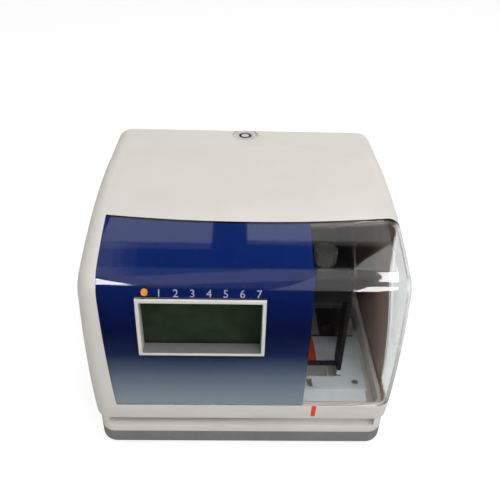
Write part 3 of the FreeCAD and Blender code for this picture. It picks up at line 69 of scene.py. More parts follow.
CASE_EDGE = 0.5 * MM
BASE_EDGE = 0.7 * MM
BEZEL_EDGE = 0.45 * MM
SHEET_EDGE = 0.2 * MM
MOULDED_EDGE = 0.4 * MM
EDGE_ROWS = 3
SHARP_ANGLE = math.radians(38)
FLAT_ANGLE = math.radians(0.2)
WELD = 0.002 * MM

# Number row over the display

NUMBER_SIZE = 6.6 * MM
NUMBER_THICKNESS = 0.05 * MM
NUMBER_ROW_HEIGHT = 134.0 * MM
NUMBER_LEAN = math.radians(28)
NUMBER_SLICE = 0.6 * MM
FIRST_NUMBER = -49.4 * MM
NUMBER_STEP = 9.52 * MM
NUMBERS = "1234567"

# Printed label behind the window

LABEL_SETBACK = 0.08 * MM
PRINT_SETBACK = 0.01 * MM

# Faces that a material treats differently

# Reach that marks the faces inside the cover for painted shade
INSIDE_SHADE_REACH = 2 * MM
BEZEL_OPENING = 6 * MM
BEZEL_LOWER_SHARE = 0.95
BEZEL_RIGHT_SHARE = 0.7
BEZEL_OTHER_SHARE = 0.3
EDGE_TURN = 0.7
EDGE_BEHIND = 24 * MM
REBATE_REACH = 5 * MM
REBATE_LOW = 60 * MM

# Patterns in the finishes: waves a metre, squeeze across, and the share of the noise that shows

CLOUD_SCALE = 34.0
CLOUD_SPAN = (0.38, 0.66)
SMEAR_SCALE = 90.0
SMEAR_SQUEEZE = 0.35
STREAK_SCALE = 120.0
STREAK_SQUEEZE = 22.0
STAIN_SCALE = 75.0
STAIN_SPAN = (0.45, 0.7)
# Clouds of the brown-grey painted shade inside the cover
INSIDE_SHADE_SCALE = 60.0
INSIDE_SHADE_SPAN = (0.35, 0.65)
HAIRLINE_SCALE = 60.0
HAIRLINE_SQUEEZE = 30.0
HAIRLINE_SPAN = (0.35, 0.75)
SPECKLE_SCALE = 2600.0
PAPER_SCALE = 900.0
HAZE_SCALE = 45.0
HAZE_SPAN = (0.35, 0.7)
GLASS_SMEAR_SCALE = 300.0
EVEN_SPAN = (0.3, 0.7)

# How far a pattern moves the gloss or the tint, and how deep the finest relief is

PLASTIC_GLOSS_SWING = (-0.05, 0.07)
METAL_GLOSS_SWING = (-0.07, 0.1)
WINDOW_ROUGHNESS = (0.015, 0.05)
DISPLAY_ROUGHNESS = (0.12, 0.2)
SPECKLE_SHARE = (0.0, 0.12)
GRAIN_RELIEF = 0.06 * MM
STREAK_RELIEF = 0.05 * MM
PAPER_RELIEF = 0.02 * MM

# Floor, backdrop and lamps, as linear light

FLOOR_SPAN = 6.0
FLOOR_DROP = 0.2 * MM
FLOOR_PALE = (0.82, 0.82, 0.82, 1.0)
FLOOR_SEEN = (0.25, 0.25, 0.25, 1.0)
FLOOR_GLOW = 0.84
FLOOR_AHEAD_MIRRORED = (0.02, 0.02, 0.02, 1.0)
FLOOR_BEHIND_MIRRORED = (0.9, 0.9, 0.9, 1.0)
FLOOR_AHEAD = -0.15
FLOOR_BEHIND = 0.05
WORLD_LIGHT = 0.36
REFLECTED_ROOM = 0.02
REFLECTED_BACKDROP = 0.9
BACKDROP_SPAN = (0.55, 0.75)
BOUNCED = 0.5
LAMP_HEIGHT = 1.5
CEILING_HEIGHT = 1.6
LAMP_STEP = 0.004

# Lamps over the machine: name, span across, span along, radiance

CEILING_LAMPS = (
    ("ceiling_main", (-0.45, 1.0), (-0.2, 0.75), 1.2),
    ("ceiling_front", (-0.2, 1.7), (-1.9, -0.2), 3.0),
)

# Panels that only show as reflections: name, span across, span along, radiance, turn

MIRRORED_PANELS = (
    ("window_light_left", (-0.42, -0.08), (0.415, 0.71), 0.8, 0),
    ("window_light_left_foot", (-0.42, -0.08), (0.345, 0.415), 0.22, 0),
    ("window_light_right", (0.03, 0.49), (0.455, 0.74), 1.0, 0),
    ("window_light_right_foot", (0.03, 0.49), (0.41, 0.455), 0.3, 0),
    ("ceiling_band", (-0.55, 1.3), (-2.8, 0.1), 0.22, 0),
    ("ceiling_band_core", (-0.365, 0.235), (-1.94, 0.15), 0.33, -27.6),
    ("ceiling_band_right", (0.24, 1.3), (-3.8, 0.19), 0.7, 0),
    ("corner_light", (0.4, 0.65), (0.06, 0.42), 2.0, -26.6),
    ("left_haze", (-0.5, -0.38), (-0.9, 0.42), 0.12, 0),
    ("left_haze_wide", (-0.5, -0.35), (-0.9, 0.42), 0.12, 0),
    ("left_haze_widest", (-0.5, -0.31), (-0.9, 0.42), 0.1, 0),
    ("glint_left", (-0.8, -0.5), (-2.15, -0.95), 13.0, 0),
    ("glint_right", (0.78, 0.98), (-4.1, -1.93), 13.0, 8.5),
    ("glint_corner", (0.465, 0.715), (-1.05, -0.07), 13.0, 4.6),
    ("glint_post", (0.53, 0.68), (-0.1, 0.5), 8.0, 0),
)

# Photograph's camera

CAMERA_PLACE = (-6.2 * MM, -332.0 * MM, 340.4 * MM)
CAMERA_TURN = (55.073, -1.467, -0.753)
CAMERA_LENS = 40.99
CAMERA_SENSOR = 36
CAMERA_NEAR = 10 * MM


# Small helpers for meshes

def deselect_all():
    for item in bpy.context.view_layer.objects:
        item.select_set(False)


def only(piece):
    """Makes this piece the one that the next operators act on."""
    deselect_all()
    piece.select_set(True)
    bpy.context.view_layer.objects.active = piece


def edit(piece):
    only(piece)
    bpy.ops.object.mode_set(mode="EDIT")
    bpy.ops.mesh.select_mode(type="VERT")
    bpy.ops.mesh.select_all(action="DESELECT")


def leave_edit():
    bpy.ops.object.mode_set(mode="OBJECT")


def apply_all(piece):
    only(piece)
    for modifier in list(piece.modifiers):
        bpy.ops.object.modifier_apply(modifier=modifier.name)


def settle(piece):
    """Puts the piece's place into its mesh, with its object at the origin."""
    only(piece)
    bpy.ops.object.transform_apply(location=True, rotation=True, scale=True)


def finish_piece(piece, name, material, body, node=None):
    piece.name = name
    piece.data.name = name
    piece.data.materials.clear()
    piece.data.materials.append(material)
    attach(piece, body)
    if node:
        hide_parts(node)
    return piece


def body_of(node):
    return NODES[node]["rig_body"]


def merged_copy(node):
    """A copy of a frame piece whose loose triangles are joined into clean faces."""
    piece = bpy.data.objects.new(node + "_copy", NODES[node].data.copy())
    bpy.context.scene.collection.objects.link(piece)
    only(piece)
    bpy.ops.mesh.customdata_custom_splitnormals_clear()
    edit(piece)
    bpy.ops.mesh.select_all(action="SELECT")
    bpy.ops.mesh.remove_doubles(threshold=WELD)
    bpy.ops.mesh.dissolve_limited(angle_limit=FLAT_ANGLE)
    bpy.ops.mesh.normals_make_consistent(inside=False)
    leave_edit()
    return piece


def soften(piece, width):
    """Rounds the sharp edges of a piece and smooths its curved faces."""
    bevel = piece.modifiers.new("soft_edges", "BEVEL")
    bevel.width = width
    bevel.segments = EDGE_ROWS
    bevel.limit_method = "ANGLE"
    bevel.angle_limit = SHARP_ANGLE
    bevel.use_clamp_overlap = True
    bevel.miter_outer = "MITER_ARC"
    apply_all(piece)
    only(piece)
    bpy.ops.object.shade_smooth_by_angle(angle=SHARP_ANGLE)


def soft_stand_in(node, width, material):
    """A frame piece's own form with rounded edges, shown in its place."""
    piece = merged_copy(node)
    soften(piece, width)
    return finish_piece(piece, node + "_moulded", material, body_of(node), node)


def mark_faces(piece, name, share_of):
    """Keeps each face's share of a tint, for the materials to read."""
    shares = piece.data.attributes.new(name, "FLOAT", "FACE")
    for face, share in zip(piece.data.polygons, shares.data):
        share.value = float(share_of(face))


# Node helpers for materials

def colour(red, green, blue):
    return (red, green, blue, 1.0)


def sockets_of(group, inputs, outputs):
    """Names the sockets of a node group and gives its input and output nodes."""
    for name, kind, default in inputs:
        socket = group.interface.new_socket(name, in_out="INPUT", socket_type=kind)
        socket.default_value = default
    for name, kind in outputs:
        group.interface.new_socket(name, in_out="OUTPUT", socket_type=kind)
    return group.nodes.new("NodeGroupInput"), group.nodes.new("NodeGroupOutput")


def noise(tree, vector, scale, detail=3.0, roughness=0.55):
    node = tree.nodes.new("ShaderNodeTexNoise")
    node.inputs["Detail"].default_value = detail
    node.inputs["Roughness"].default_value = roughness
    tree.links.new(vector, node.inputs["Vector"])
    feed(tree, scale, node.inputs["Scale"])
    return node.outputs["Fac"]


def feed(tree, source, socket):
    """Links an output, or sets a plain value."""
    if isinstance(source, bpy.types.NodeSocket):
        tree.links.new(source, socket)
    else:
        socket.default_value = source


def math_node(tree, operation, first, second):
    node = tree.nodes.new("ShaderNodeMath")
    node.operation = operation
    feed(tree, first, node.inputs[0])
    feed(tree, second, node.inputs[1])
    return node.outputs[0]


def spread(tree, value, low, high, out_low=0.0, out_high=1.0):
    """Maps a value from one span to another, clamped."""
    node = tree.nodes.new("ShaderNodeMapRange")
    node.clamp = True
    for name, source in (("Value", value), ("From Min", low), ("From Max", high),
                         ("To Min", out_low), ("To Max", out_high)):
        feed(tree, source, node.inputs[name])
    return node.outputs["Result"]


def mix_colours(tree, share, first, second):
    node = tree.nodes.new("ShaderNodeMix")
    node.data_type = "RGBA"
    feed(tree, share, node.inputs[0])
    feed(tree, first, node.inputs[6])
    feed(tree, second, node.inputs[7])
    return node.outputs[2]


def mix_values(tree, share, first, second):
    node = tree.nodes.new("ShaderNodeMix")
    feed(tree, share, node.inputs[0])
    feed(tree, first, node.inputs[2])
    feed(tree, second, node.inputs[3])
    return node.outputs[0]


def bump(tree, height, depth, distance):
    node = tree.nodes.new("ShaderNodeBump")
    node.inputs["Distance"].default_value = distance
    feed(tree, depth, node.inputs["Strength"])
    tree.links.new(height, node.inputs["Height"])
    return node.outputs["Normal"]


def object_point(tree):
    return tree.nodes.new("ShaderNodeTexCoord").outputs["Object"]


def marked_share(tree, name):
    node = tree.nodes.new("ShaderNodeAttribute")
    node.attribute_name = name
    return node.outputs["Fac"]


def stretched(tree, point, x, y, z):
    """The point with its pattern squeezed along an axis, or drawn out by less than one."""
    node = tree.nodes.new("ShaderNodeMapping")
    node.inputs["Scale"].default_value = (x, y, z)
    tree.links.new(point, node.inputs["Vector"])
    return node.outputs["Vector"]


# Effects that several materials share

def build_moulding_group():
    """Moulded plastic: faint clouds of tint, a fine spark-eroded grain and uneven gloss."""
    group = bpy.data.node_groups.new("moulded_surface", "ShaderNodeTree")
    start, end = sockets_of(group, [
        ("Colour", "NodeSocketColor", colour(0.7, 0.7, 0.7)),
        ("Second Colour", "NodeSocketColor", colour(0.6, 0.6, 0.6)),
        ("Clouds", "NodeSocketFloat", 0.3),
        ("Grain Scale", "NodeSocketFloat", 1500.0),
        ("Grain Depth", "NodeSocketFloat", 0.2),
        ("Gloss", "NodeSocketFloat", 0.45),
    ], [("Colour", "NodeSocketColor"), ("Roughness", "NodeSocketFloat"),
        ("Normal", "NodeSocketVector")])
    point = object_point(group)
    clouds = spread(group, noise(group, point, CLOUD_SCALE, 4.0), *CLOUD_SPAN)
    share = math_node(group, "MULTIPLY", clouds, start.outputs["Clouds"])
    tint = mix_colours(group, share, start.outputs["Colour"], start.outputs["Second Colour"])
    grain = noise(group, point, start.outputs["Grain Scale"], 2.0)
    smear = noise(group, stretched(group, point, 1.0, 1.0, SMEAR_SQUEEZE), SMEAR_SCALE, 3.0)
    rough = math_node(group, "ADD", start.outputs["Gloss"],
                      spread(group, smear, *EVEN_SPAN, *PLASTIC_GLOSS_SWING))
    group.links.new(tint, end.inputs["Colour"])
    group.links.new(rough, end.inputs["Roughness"])
    group.links.new(bump(group, grain, start.outputs["Grain Depth"], GRAIN_RELIEF),
                    end.inputs["Normal"])
    return group


def build_metal_group():
    """Rolled or turned metal: long fine streaks, small stains and uneven gloss."""
    group = bpy.data.node_groups.new("metal_surface", "ShaderNodeTree")
    start, end = sockets_of(group, [
        ("Colour", "NodeSocketColor", colour(0.6, 0.6, 0.6)),
        ("Stain Colour", "NodeSocketColor", colour(0.4, 0.4, 0.4)),
        ("Stains", "NodeSocketFloat", 0.3),
        ("Streaks", "NodeSocketFloat", 0.2),
        ("Gloss", "NodeSocketFloat", 0.35),
    ], [("Colour", "NodeSocketColor"), ("Roughness", "NodeSocketFloat"),
        ("Normal", "NodeSocketVector")])
    point = object_point(group)
    squeezed = stretched(group, point, 1.0, STREAK_SQUEEZE, STREAK_SQUEEZE)
    streak = noise(group, squeezed, STREAK_SCALE, 4.0)
    stain = spread(group, noise(group, point, STAIN_SCALE, 5.0, 0.62), *STAIN_SPAN)
    tint = mix_colours(group, math_node(group, "MULTIPLY", stain, start.outputs["Stains"]),
                       start.outputs["Colour"], start.outputs["Stain Colour"])
    rough = math_node(group, "ADD", start.outputs["Gloss"],
                      spread(group, streak, *EVEN_SPAN, *METAL_GLOSS_SWING))
    group.links.new(tint, end.inputs["Colour"])
    group.links.new(rough, end.inputs["Roughness"])
    group.links.new(bump(group, streak, start.outputs["Streaks"], STREAK_RELIEF),
                    end.inputs["Normal"])
    return group


MOULDING = build_moulding_group()
METAL = build_metal_group()


def new_material(name):
    """A node material with its Principled shader."""
    material = bpy.data.materials.new(name)
    material.use_nodes = True
    tree = material.node_tree
    return material, tree, tree.nodes["Principled BSDF"]


def place_group(tree, group, values):
    node = tree.nodes.new("ShaderNodeGroup")
    node.node_tree = group
    for name, value in values.items():
        node.inputs[name].default_value = value
    return node


def moulded(name, tint, second, clouds, gloss, grain_scale=1500.0, grain_depth=0.2,
            specular=0.4):
    material, tree, shader = new_material(name)
    surface = place_group(tree, MOULDING, {
        "Colour": tint, "Second Colour": second, "Clouds": clouds, "Gloss": gloss,
        "Grain Scale": grain_scale, "Grain Depth": grain_depth})
    shader.inputs["Specular IOR Level"].default_value = specular
    tree.links.new(surface.outputs["Colour"], shader.inputs["Base Color"])
    tree.links.new(surface.outputs["Roughness"], shader.inputs["Roughness"])
    tree.links.new(surface.outputs["Normal"], shader.inputs["Normal"])
    return material


def case_moulding(name):
    """Cream outside; the faces inside the cover and round the display's opening take tints of
    painted shade, and those under the window a dark tint of their own.
    """
    material = moulded(name, CREAM, CREAM_SHADE, clouds=0.6, gloss=0.42, grain_scale=1300.0,
                       grain_depth=0.16)
    tree = material.node_tree
    shader = tree.nodes["Principled BSDF"]
    outside = shader.inputs["Base Color"].links[0].from_socket
    # Painted shade: the faces inside the cover take a brown-grey tint in clouds
    inside_shade_clouds = noise(tree, object_point(tree), INSIDE_SHADE_SCALE, 4.0)
    inside_shade = mix_colours(tree, spread(tree, inside_shade_clouds, *INSIDE_SHADE_SPAN), INSIDE_SHADE_BROWN, INSIDE_SHADE_GREY)
    with_inside_shade = mix_colours(tree, marked_share(tree, "shaded_inside"), outside, inside_shade)
    shaded = mix_colours(tree, marked_share(tree, "bezel_inside"), with_inside_shade, BEZEL_SHADE)
    tree.links.new(mix_colours(tree, marked_share(tree, "under_window"), shaded, REBATE_SHADE),
                   shader.inputs["Base Color"])
    return material


def metal(name, tint, stain, stains, gloss, streaks=0.2, metallic=1.0):
    material, tree, shader = new_material(name)
    surface = place_group(tree, METAL, {
        "Colour": tint, "Stain Colour": stain, "Stains": stains, "Gloss": gloss,
        "Streaks": streaks})
    shader.inputs["Metallic"].default_value = metallic
    tree.links.new(surface.outputs["Colour"], shader.inputs["Base Color"])
    tree.links.new(surface.outputs["Roughness"], shader.inputs["Roughness"])
    tree.links.new(surface.outputs["Normal"], shader.inputs["Normal"])
    return material


def clear_plastic(name):
    """Clear window plastic, with faint hairlines in its gloss, that lets lamplight through."""
    material, tree, shader = new_material(name)
    tree.links.new(mix_colours(tree, marked_share(tree, "cut_edge"), WINDOW_CLEAR, WINDOW_EDGE),
                   shader.inputs["Base Color"])
    shader.inputs["Transmission Weight"].default_value = 1.0
    shader.inputs["IOR"].default_value = 1.46
    squeezed = stretched(tree, object_point(tree), 1.0, HAIRLINE_SQUEEZE, HAIRLINE_SQUEEZE)
    hairlines = noise(tree, squeezed, HAIRLINE_SCALE, 3.0)
    tree.links.new(spread(tree, hairlines, *HAIRLINE_SPAN, *WINDOW_ROUGHNESS),
                   shader.inputs["Roughness"])
    lamp_path = tree.nodes.new("ShaderNodeBsdfTransparent")
    lamp_path.inputs["Color"].default_value = WINDOW_LAMPLIGHT
    ray = tree.nodes.new("ShaderNodeLightPath")
    mixed = tree.nodes.new("ShaderNodeMixShader")
    tree.links.new(ray.outputs["Is Shadow Ray"], mixed.inputs[0])
    tree.links.new(shader.outputs[0], mixed.inputs[1])
    tree.links.new(lamp_path.outputs[0], mixed.inputs[2])
    tree.links.new(mixed.outputs[0], tree.nodes["Material Output"].inputs["Surface"])
    return material


def blue_print_and_reflection(name):
    """Blue print that fades to grey-blue towards the foot of the label; the paler foot is a
    painted reflection of the pale floor ahead.
    """
    material, tree, shader = new_material(name)
    point = object_point(tree)
    split = tree.nodes.new("ShaderNodeSeparateXYZ")
    tree.links.new(point, split.inputs[0])
    ramp = tree.nodes.new("ShaderNodeValToRGB")
    low, high = LABEL_TINTS_AND_FOOT_REFLECTION[0][0], LABEL_TINTS_AND_FOOT_REFLECTION[-1][0]
    while len(ramp.color_ramp.elements) < len(LABEL_TINTS_AND_FOOT_REFLECTION):
        ramp.color_ramp.elements.new(0.5)
    for element, (height, tint) in zip(ramp.color_ramp.elements, LABEL_TINTS_AND_FOOT_REFLECTION):
        element.position = (height - low) / (high - low)
        element.color = tint
    tree.links.new(spread(tree, split.outputs["Z"], low, high), ramp.inputs["Fac"])
    speckle = spread(tree, noise(tree, point, SPECKLE_SCALE, 2.0), *HAZE_SPAN, *SPECKLE_SHARE)
    tree.links.new(mix_colours(tree, speckle, ramp.outputs["Color"], LABEL_SPECKLE),
                   shader.inputs["Base Color"])
    shader.inputs["Roughness"].default_value = 0.6
    shader.inputs["Specular IOR Level"].default_value = 0.0
    tree.links.new(bump(tree, noise(tree, point, PAPER_SCALE), 0.15, PAPER_RELIEF),
                   shader.inputs["Normal"])
    return material


def display_glass(name):
    """Dark olive display glass with a faint cloudy haze."""
    material, tree, shader = new_material(name)
    point = object_point(tree)
    haze = noise(tree, point, HAZE_SCALE, 2.0)
    tint = mix_colours(tree, spread(tree, haze, *HAZE_SPAN), GLASS_DARK, GLASS_OLIVE)
    tree.links.new(tint, shader.inputs["Base Color"])
    rough = spread(tree, noise(tree, point, GLASS_SMEAR_SCALE), *EVEN_SPAN, *DISPLAY_ROUGHNESS)
    tree.links.new(rough, shader.inputs["Roughness"])
    shader.inputs["Specular IOR Level"].default_value = 0.3
    return material


# Colours, as linear light

CREAM = colour(0.70, 0.665, 0.62)
CREAM_SHADE = colour(0.655, 0.62, 0.58)
# Brown-grey painted shade for the faces inside the cover
INSIDE_SHADE_BROWN = colour(0.58, 0.41, 0.35)
INSIDE_SHADE_GREY = colour(0.64, 0.47, 0.41)
# Painted shade for the faces round the display's opening
BEZEL_SHADE = colour(0.14, 0.145, 0.13)
REBATE_SHADE = colour(0.06, 0.045, 0.04)
WINDOW_CLEAR = colour(0.97, 0.985, 0.975)
WINDOW_EDGE = colour(0.12, 0.42, 0.2)
WINDOW_LAMPLIGHT = colour(1.0, 1.0, 0.995)
CASE_GREY = colour(0.205, 0.21, 0.205)
CASE_GREY_SHADE = colour(0.165, 0.17, 0.165)
LABEL_SPECKLE = colour(0.02, 0.045, 0.15)
# Label tints by height: navy print, paling to grey-blue towards the foot as a painted reflection
# of the floor ahead
LABEL_TINTS_AND_FOOT_REFLECTION = (
    (45 * MM, colour(0.32, 0.39, 0.44)),
    (62 * MM, colour(0.235, 0.275, 0.34)),
    (75 * MM, colour(0.12, 0.165, 0.24)),
    (90 * MM, colour(0.014, 0.025, 0.08)),
    (108 * MM, colour(0.001, 0.004, 0.05)),
    (126 * MM, colour(0.002, 0.01, 0.095)),
    (150 * MM, colour(0.003, 0.018, 0.13)),
)
GLASS_DARK = colour(0.01, 0.02, 0.009)
GLASS_OLIVE = colour(0.026, 0.04, 0.022)

case_plastic = case_moulding("case_plastic")
grey_plastic = moulded("grey_plastic", CASE_GREY, CASE_GREY_SHADE, clouds=0.6, gloss=0.5,
                       grain_scale=1200.0, grain_depth=0.3)
black_plastic = moulded("black_plastic", colour(0.006, 0.006, 0.007),
                        colour(0.012, 0.011, 0.011), clouds=0.7, gloss=0.55,
                        grain_scale=1400.0, grain_depth=0.3, specular=0.15)
white_plastic = moulded("white_plastic", colour(0.74, 0.73, 0.7), colour(0.66, 0.65, 0.62),
                        clouds=0.5, gloss=0.38)
component_plastic = moulded("component_plastic", colour(0.02, 0.02, 0.022),
                            colour(0.035, 0.034, 0.034), clouds=0.6, gloss=0.55)
foot_rubber = moulded("foot_rubber", colour(0.018, 0.018, 0.018), colour(0.035, 0.034, 0.032),
                      clouds=0.8, gloss=0.8, grain_scale=900.0, grain_depth=0.5,
                      specular=0.25)
platen_rubber = moulded("platen_rubber", colour(0.74, 0.69, 0.63), colour(0.66, 0.61, 0.55),
                        clouds=0.8, gloss=0.75, grain_scale=900.0, grain_depth=0.4,
                        specular=0.25)
belt_rubber = moulded("belt_rubber", colour(0.02, 0.02, 0.02), colour(0.035, 0.033, 0.03),
                      clouds=0.7, gloss=0.7, grain_scale=800.0, grain_depth=0.5, specular=0.3)
ribbon_cloth = moulded("ribbon_cloth", colour(0.02, 0.012, 0.04), colour(0.035, 0.02, 0.06),
                       clouds=0.8, gloss=0.85, grain_scale=2600.0, grain_depth=0.8,
                       specular=0.2)
board_green = moulded("board_green", colour(0.01, 0.09, 0.035), colour(0.02, 0.14, 0.055),
                      clouds=0.8, gloss=0.35, grain_scale=700.0, grain_depth=0.3, specular=0.5)
cell_wrap = moulded("cell_wrap", colour(0.03, 0.14, 0.06), colour(0.05, 0.2, 0.09), clouds=0.5,
                    gloss=0.3)
red_paint = moulded("red_paint", colour(0.86, 0.05, 0.012), colour(0.7, 0.04, 0.01),
                    clouds=0.6, gloss=0.4)
orange_paint = moulded("orange_paint", colour(0.9, 0.075, 0.012), colour(0.75, 0.06, 0.01),
                       clouds=0.5, gloss=0.4)
white_print = moulded("white_print", colour(0.46, 0.53, 0.66), colour(0.38, 0.45, 0.58),
                      clouds=0.6, gloss=0.5)
amber_lens = moulded("amber_lens", colour(0.85, 0.33, 0.05), colour(0.7, 0.24, 0.03),
                     clouds=0.5, gloss=0.2, grain_scale=900.0, grain_depth=0.05, specular=0.5)
zinc_sheet = metal("zinc_sheet", colour(0.8, 0.86, 0.9), colour(0.62, 0.68, 0.72), stains=0.5,
                   gloss=0.5, metallic=0.15)
black_anodised = metal("black_anodised", colour(0.03, 0.03, 0.032), colour(0.05, 0.05, 0.05),
                       stains=0.5, gloss=0.45, metallic=0.5)
dark_sheet = metal("dark_sheet", colour(0.06, 0.045, 0.04), colour(0.085, 0.066, 0.06),
                   stains=0.6, gloss=0.55, metallic=0.2)
steel = metal("steel", colour(0.58, 0.57, 0.55), colour(0.4, 0.39, 0.37), stains=0.4,
              gloss=0.28)
aluminium = metal("aluminium", colour(0.68, 0.69, 0.7), colour(0.5, 0.5, 0.51), stains=0.4,
                  gloss=0.36)
bronze = metal("bronze", colour(0.5, 0.3, 0.12), colour(0.3, 0.17, 0.07), stains=0.5, gloss=0.4)
motor_can = metal("motor_can", colour(0.42, 0.42, 0.41), colour(0.3, 0.3, 0.29), stains=0.5,
                  gloss=0.4)
lock_chrome = metal("lock_chrome", colour(0.68, 0.66, 0.63), colour(0.5, 0.48, 0.45),
                    stains=0.4, gloss=0.3, streaks=0.1)
window_plastic = clear_plastic("window_plastic")
label_print_and_reflection = blue_print_and_reflection("label_print_and_reflection")
display_olive = display_glass("display_olive")

SLOT_FINISH = {
    "case_plastic": case_plastic, "grey_plastic": grey_plastic, "foot_rubber": foot_rubber,
    "platen_rubber": platen_rubber, "belt_rubber": belt_rubber, "zinc_plate": zinc_sheet,
    "steel": steel, "aluminium": aluminium, "bronze": bronze, "black_plastic": black_plastic,
    "white_plastic": white_plastic, "component_dark": component_plastic,
    "motor_can": motor_can, "board_green": board_green, "cell_wrap": cell_wrap,
    "lcd_glass": display_olive, "clear_window": window_plastic, "blue_print": label_print_and_reflection,
    "amber": amber_lens, "red_paint": red_paint, "orange_paint": orange_paint,
    "ribbon_cloth": ribbon_cloth, "lock_chrome": lock_chrome,
}

DARK_NODES = {
    black_anodised: ("head_heatsink", "guide_shaft_front", "guide_shaft_rear"),
    dark_sheet: ("rear_frame", "cassette_shelf", "chassis_side_left", "chassis_side_right",
                 "trigger_bracket"),
}


def node_slots():
    """The material slot that the record gives each frame piece."""
    return {part["node"]: part["material_slot"] for part in frame["record"]["subparts"]}


SLOT_OF = node_slots()


def finish_of(node):
    """The finish of a piece: a dark one for those named above, or else its slot's."""
    for finish, nodes in DARK_NODES.items():
        if node in nodes:
            return finish
    return SLOT_FINISH[SLOT_OF[node]]


def dress_frame_pieces():
    for node, item in NODES.items():
        item.data.materials.clear()
        item.data.materials.append(finish_of(node))


# Pieces shown in place of their plain frame forms

SOFT_PIECES = (
    (CASE_EDGE, ("top_cover",)),
    (BASE_EDGE, ("base_shell", "base_tray")),
    (BEZEL_EDGE, ("display_bezel",)),
    (SHEET_EDGE, ("guide_plate", "chassis_side_left", "chassis_side_right", "rear_frame",
                  "cassette_shelf", "lock_striker")),
    (MOULDED_EDGE, ("print_head", "carriage_block", "ribbon_cassette", "lock_barrel",
                    "rubber_feet", "power_inlet", "cell_holder", "select_button",
                    "change_button", "set_button")),
)


def make_soft_pieces():
    pieces = {}
    for width, nodes in SOFT_PIECES:
        for node in nodes:
            pieces[node] = soft_stand_in(node, width, finish_of(node))
    return pieces


def shade_cover_inside(cover):
    """Marks the faces of the cover that look towards its middle for painted shade, and those
    under the window.
    """
    low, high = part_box("top_cover")
    middle = (low + high) / 2
    window = NODES["front_window"]
    mark_faces(cover, "shaded_inside",
               lambda face: face.normal.dot(middle - face.center) > INSIDE_SHADE_REACH)
    mark_faces(cover, "under_window", lambda face: face.center.z > REBATE_LOW and
               window.ray_cast(face.center, face.normal, distance=REBATE_REACH)[0])


def shade_bezel_inside(bezel):
    """Marks the faces round the display's opening for painted shade, the lower one most."""
    low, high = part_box("display_bezel")
    middle = (low + high) / 2

    def share_of(face):
        if face.normal.dot(middle - face.center) < BEZEL_OPENING:
            return 0.0
        if face.normal.z > EDGE_TURN:
            return BEZEL_LOWER_SHARE
        return BEZEL_RIGHT_SHARE if face.normal.x < -EDGE_TURN else BEZEL_OTHER_SHARE

    mark_faces(bezel, "bezel_inside", share_of)


def tint_window_edge():
    """Marks the cut rear edge of the window, which looks green as clear sheet does."""
    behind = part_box("front_window")[0].y + EDGE_BEHIND
    mark_faces(NODES["front_window"], "cut_edge",
               lambda face: face.normal.y > EDGE_TURN and face.center.y > behind)


def make_label():
    """The printed label, a hair behind the clear window."""
    piece = merged_copy("front_label")
    piece.data.transform(Matrix.Translation((0, LABEL_SETBACK, -LABEL_SETBACK)))
    only(piece)
    bpy.ops.object.shade_smooth_by_angle(angle=SHARP_ANGLE)
    return finish_piece(piece, "printed_label", label_print_and_reflection, "cover_unit",
                        "front_label")


def flat_number(number, across):
    """A number as flat faces that stand upright at its place in the row, cut in thin slices."""
    deselect_all()
    bpy.ops.object.text_add(location=(across, 0, NUMBER_ROW_HEIGHT),
                            rotation=(math.radians(90), 0, 0))
    piece = bpy.context.object
    piece.data.body = number
    piece.data.size = NUMBER_SIZE
    piece.data.align_x = "CENTER"
    piece.data.align_y = "CENTER"
    piece.scale.y = math.cos(NUMBER_LEAN)
    bpy.ops.object.convert(target="MESH")
    settle(piece)
    foot = NUMBER_ROW_HEIGHT - NUMBER_SIZE / 2
    edit(piece)
    for step in range(1, int(NUMBER_SIZE / NUMBER_SLICE)):
        bpy.ops.mesh.select_all(action="SELECT")
        bpy.ops.mesh.bisect(plane_co=(0, 0, foot + NUMBER_SLICE * step), plane_no=(0, 0, 1))
    leave_edit()
    return piece


def make_numbers(label):
    """The plain numbers of the week's seven days, printed over the display."""
    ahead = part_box("front_label")[0].y - NUMBER_SIZE
    for place, number in enumerate(NUMBERS):
        piece = flat_number(number, FIRST_NUMBER + NUMBER_STEP * place)
        for vertex in piece.data.vertices:
            start = Vector((vertex.co.x, ahead, vertex.co.z))
            found, spot, normal, _ = label.ray_cast(start, Vector((0, 1, 0)))
            vertex.co = spot + normal * PRINT_SETBACK
        print_layer = piece.modifiers.new("print_layer", "SOLIDIFY")
        print_layer.thickness = NUMBER_THICKNESS / 2
        print_layer.offset = 1
        apply_all(piece)
        finish_piece(piece, f"day_number_{number}", white_print, "cover_unit")


# Floor, lamps and camera

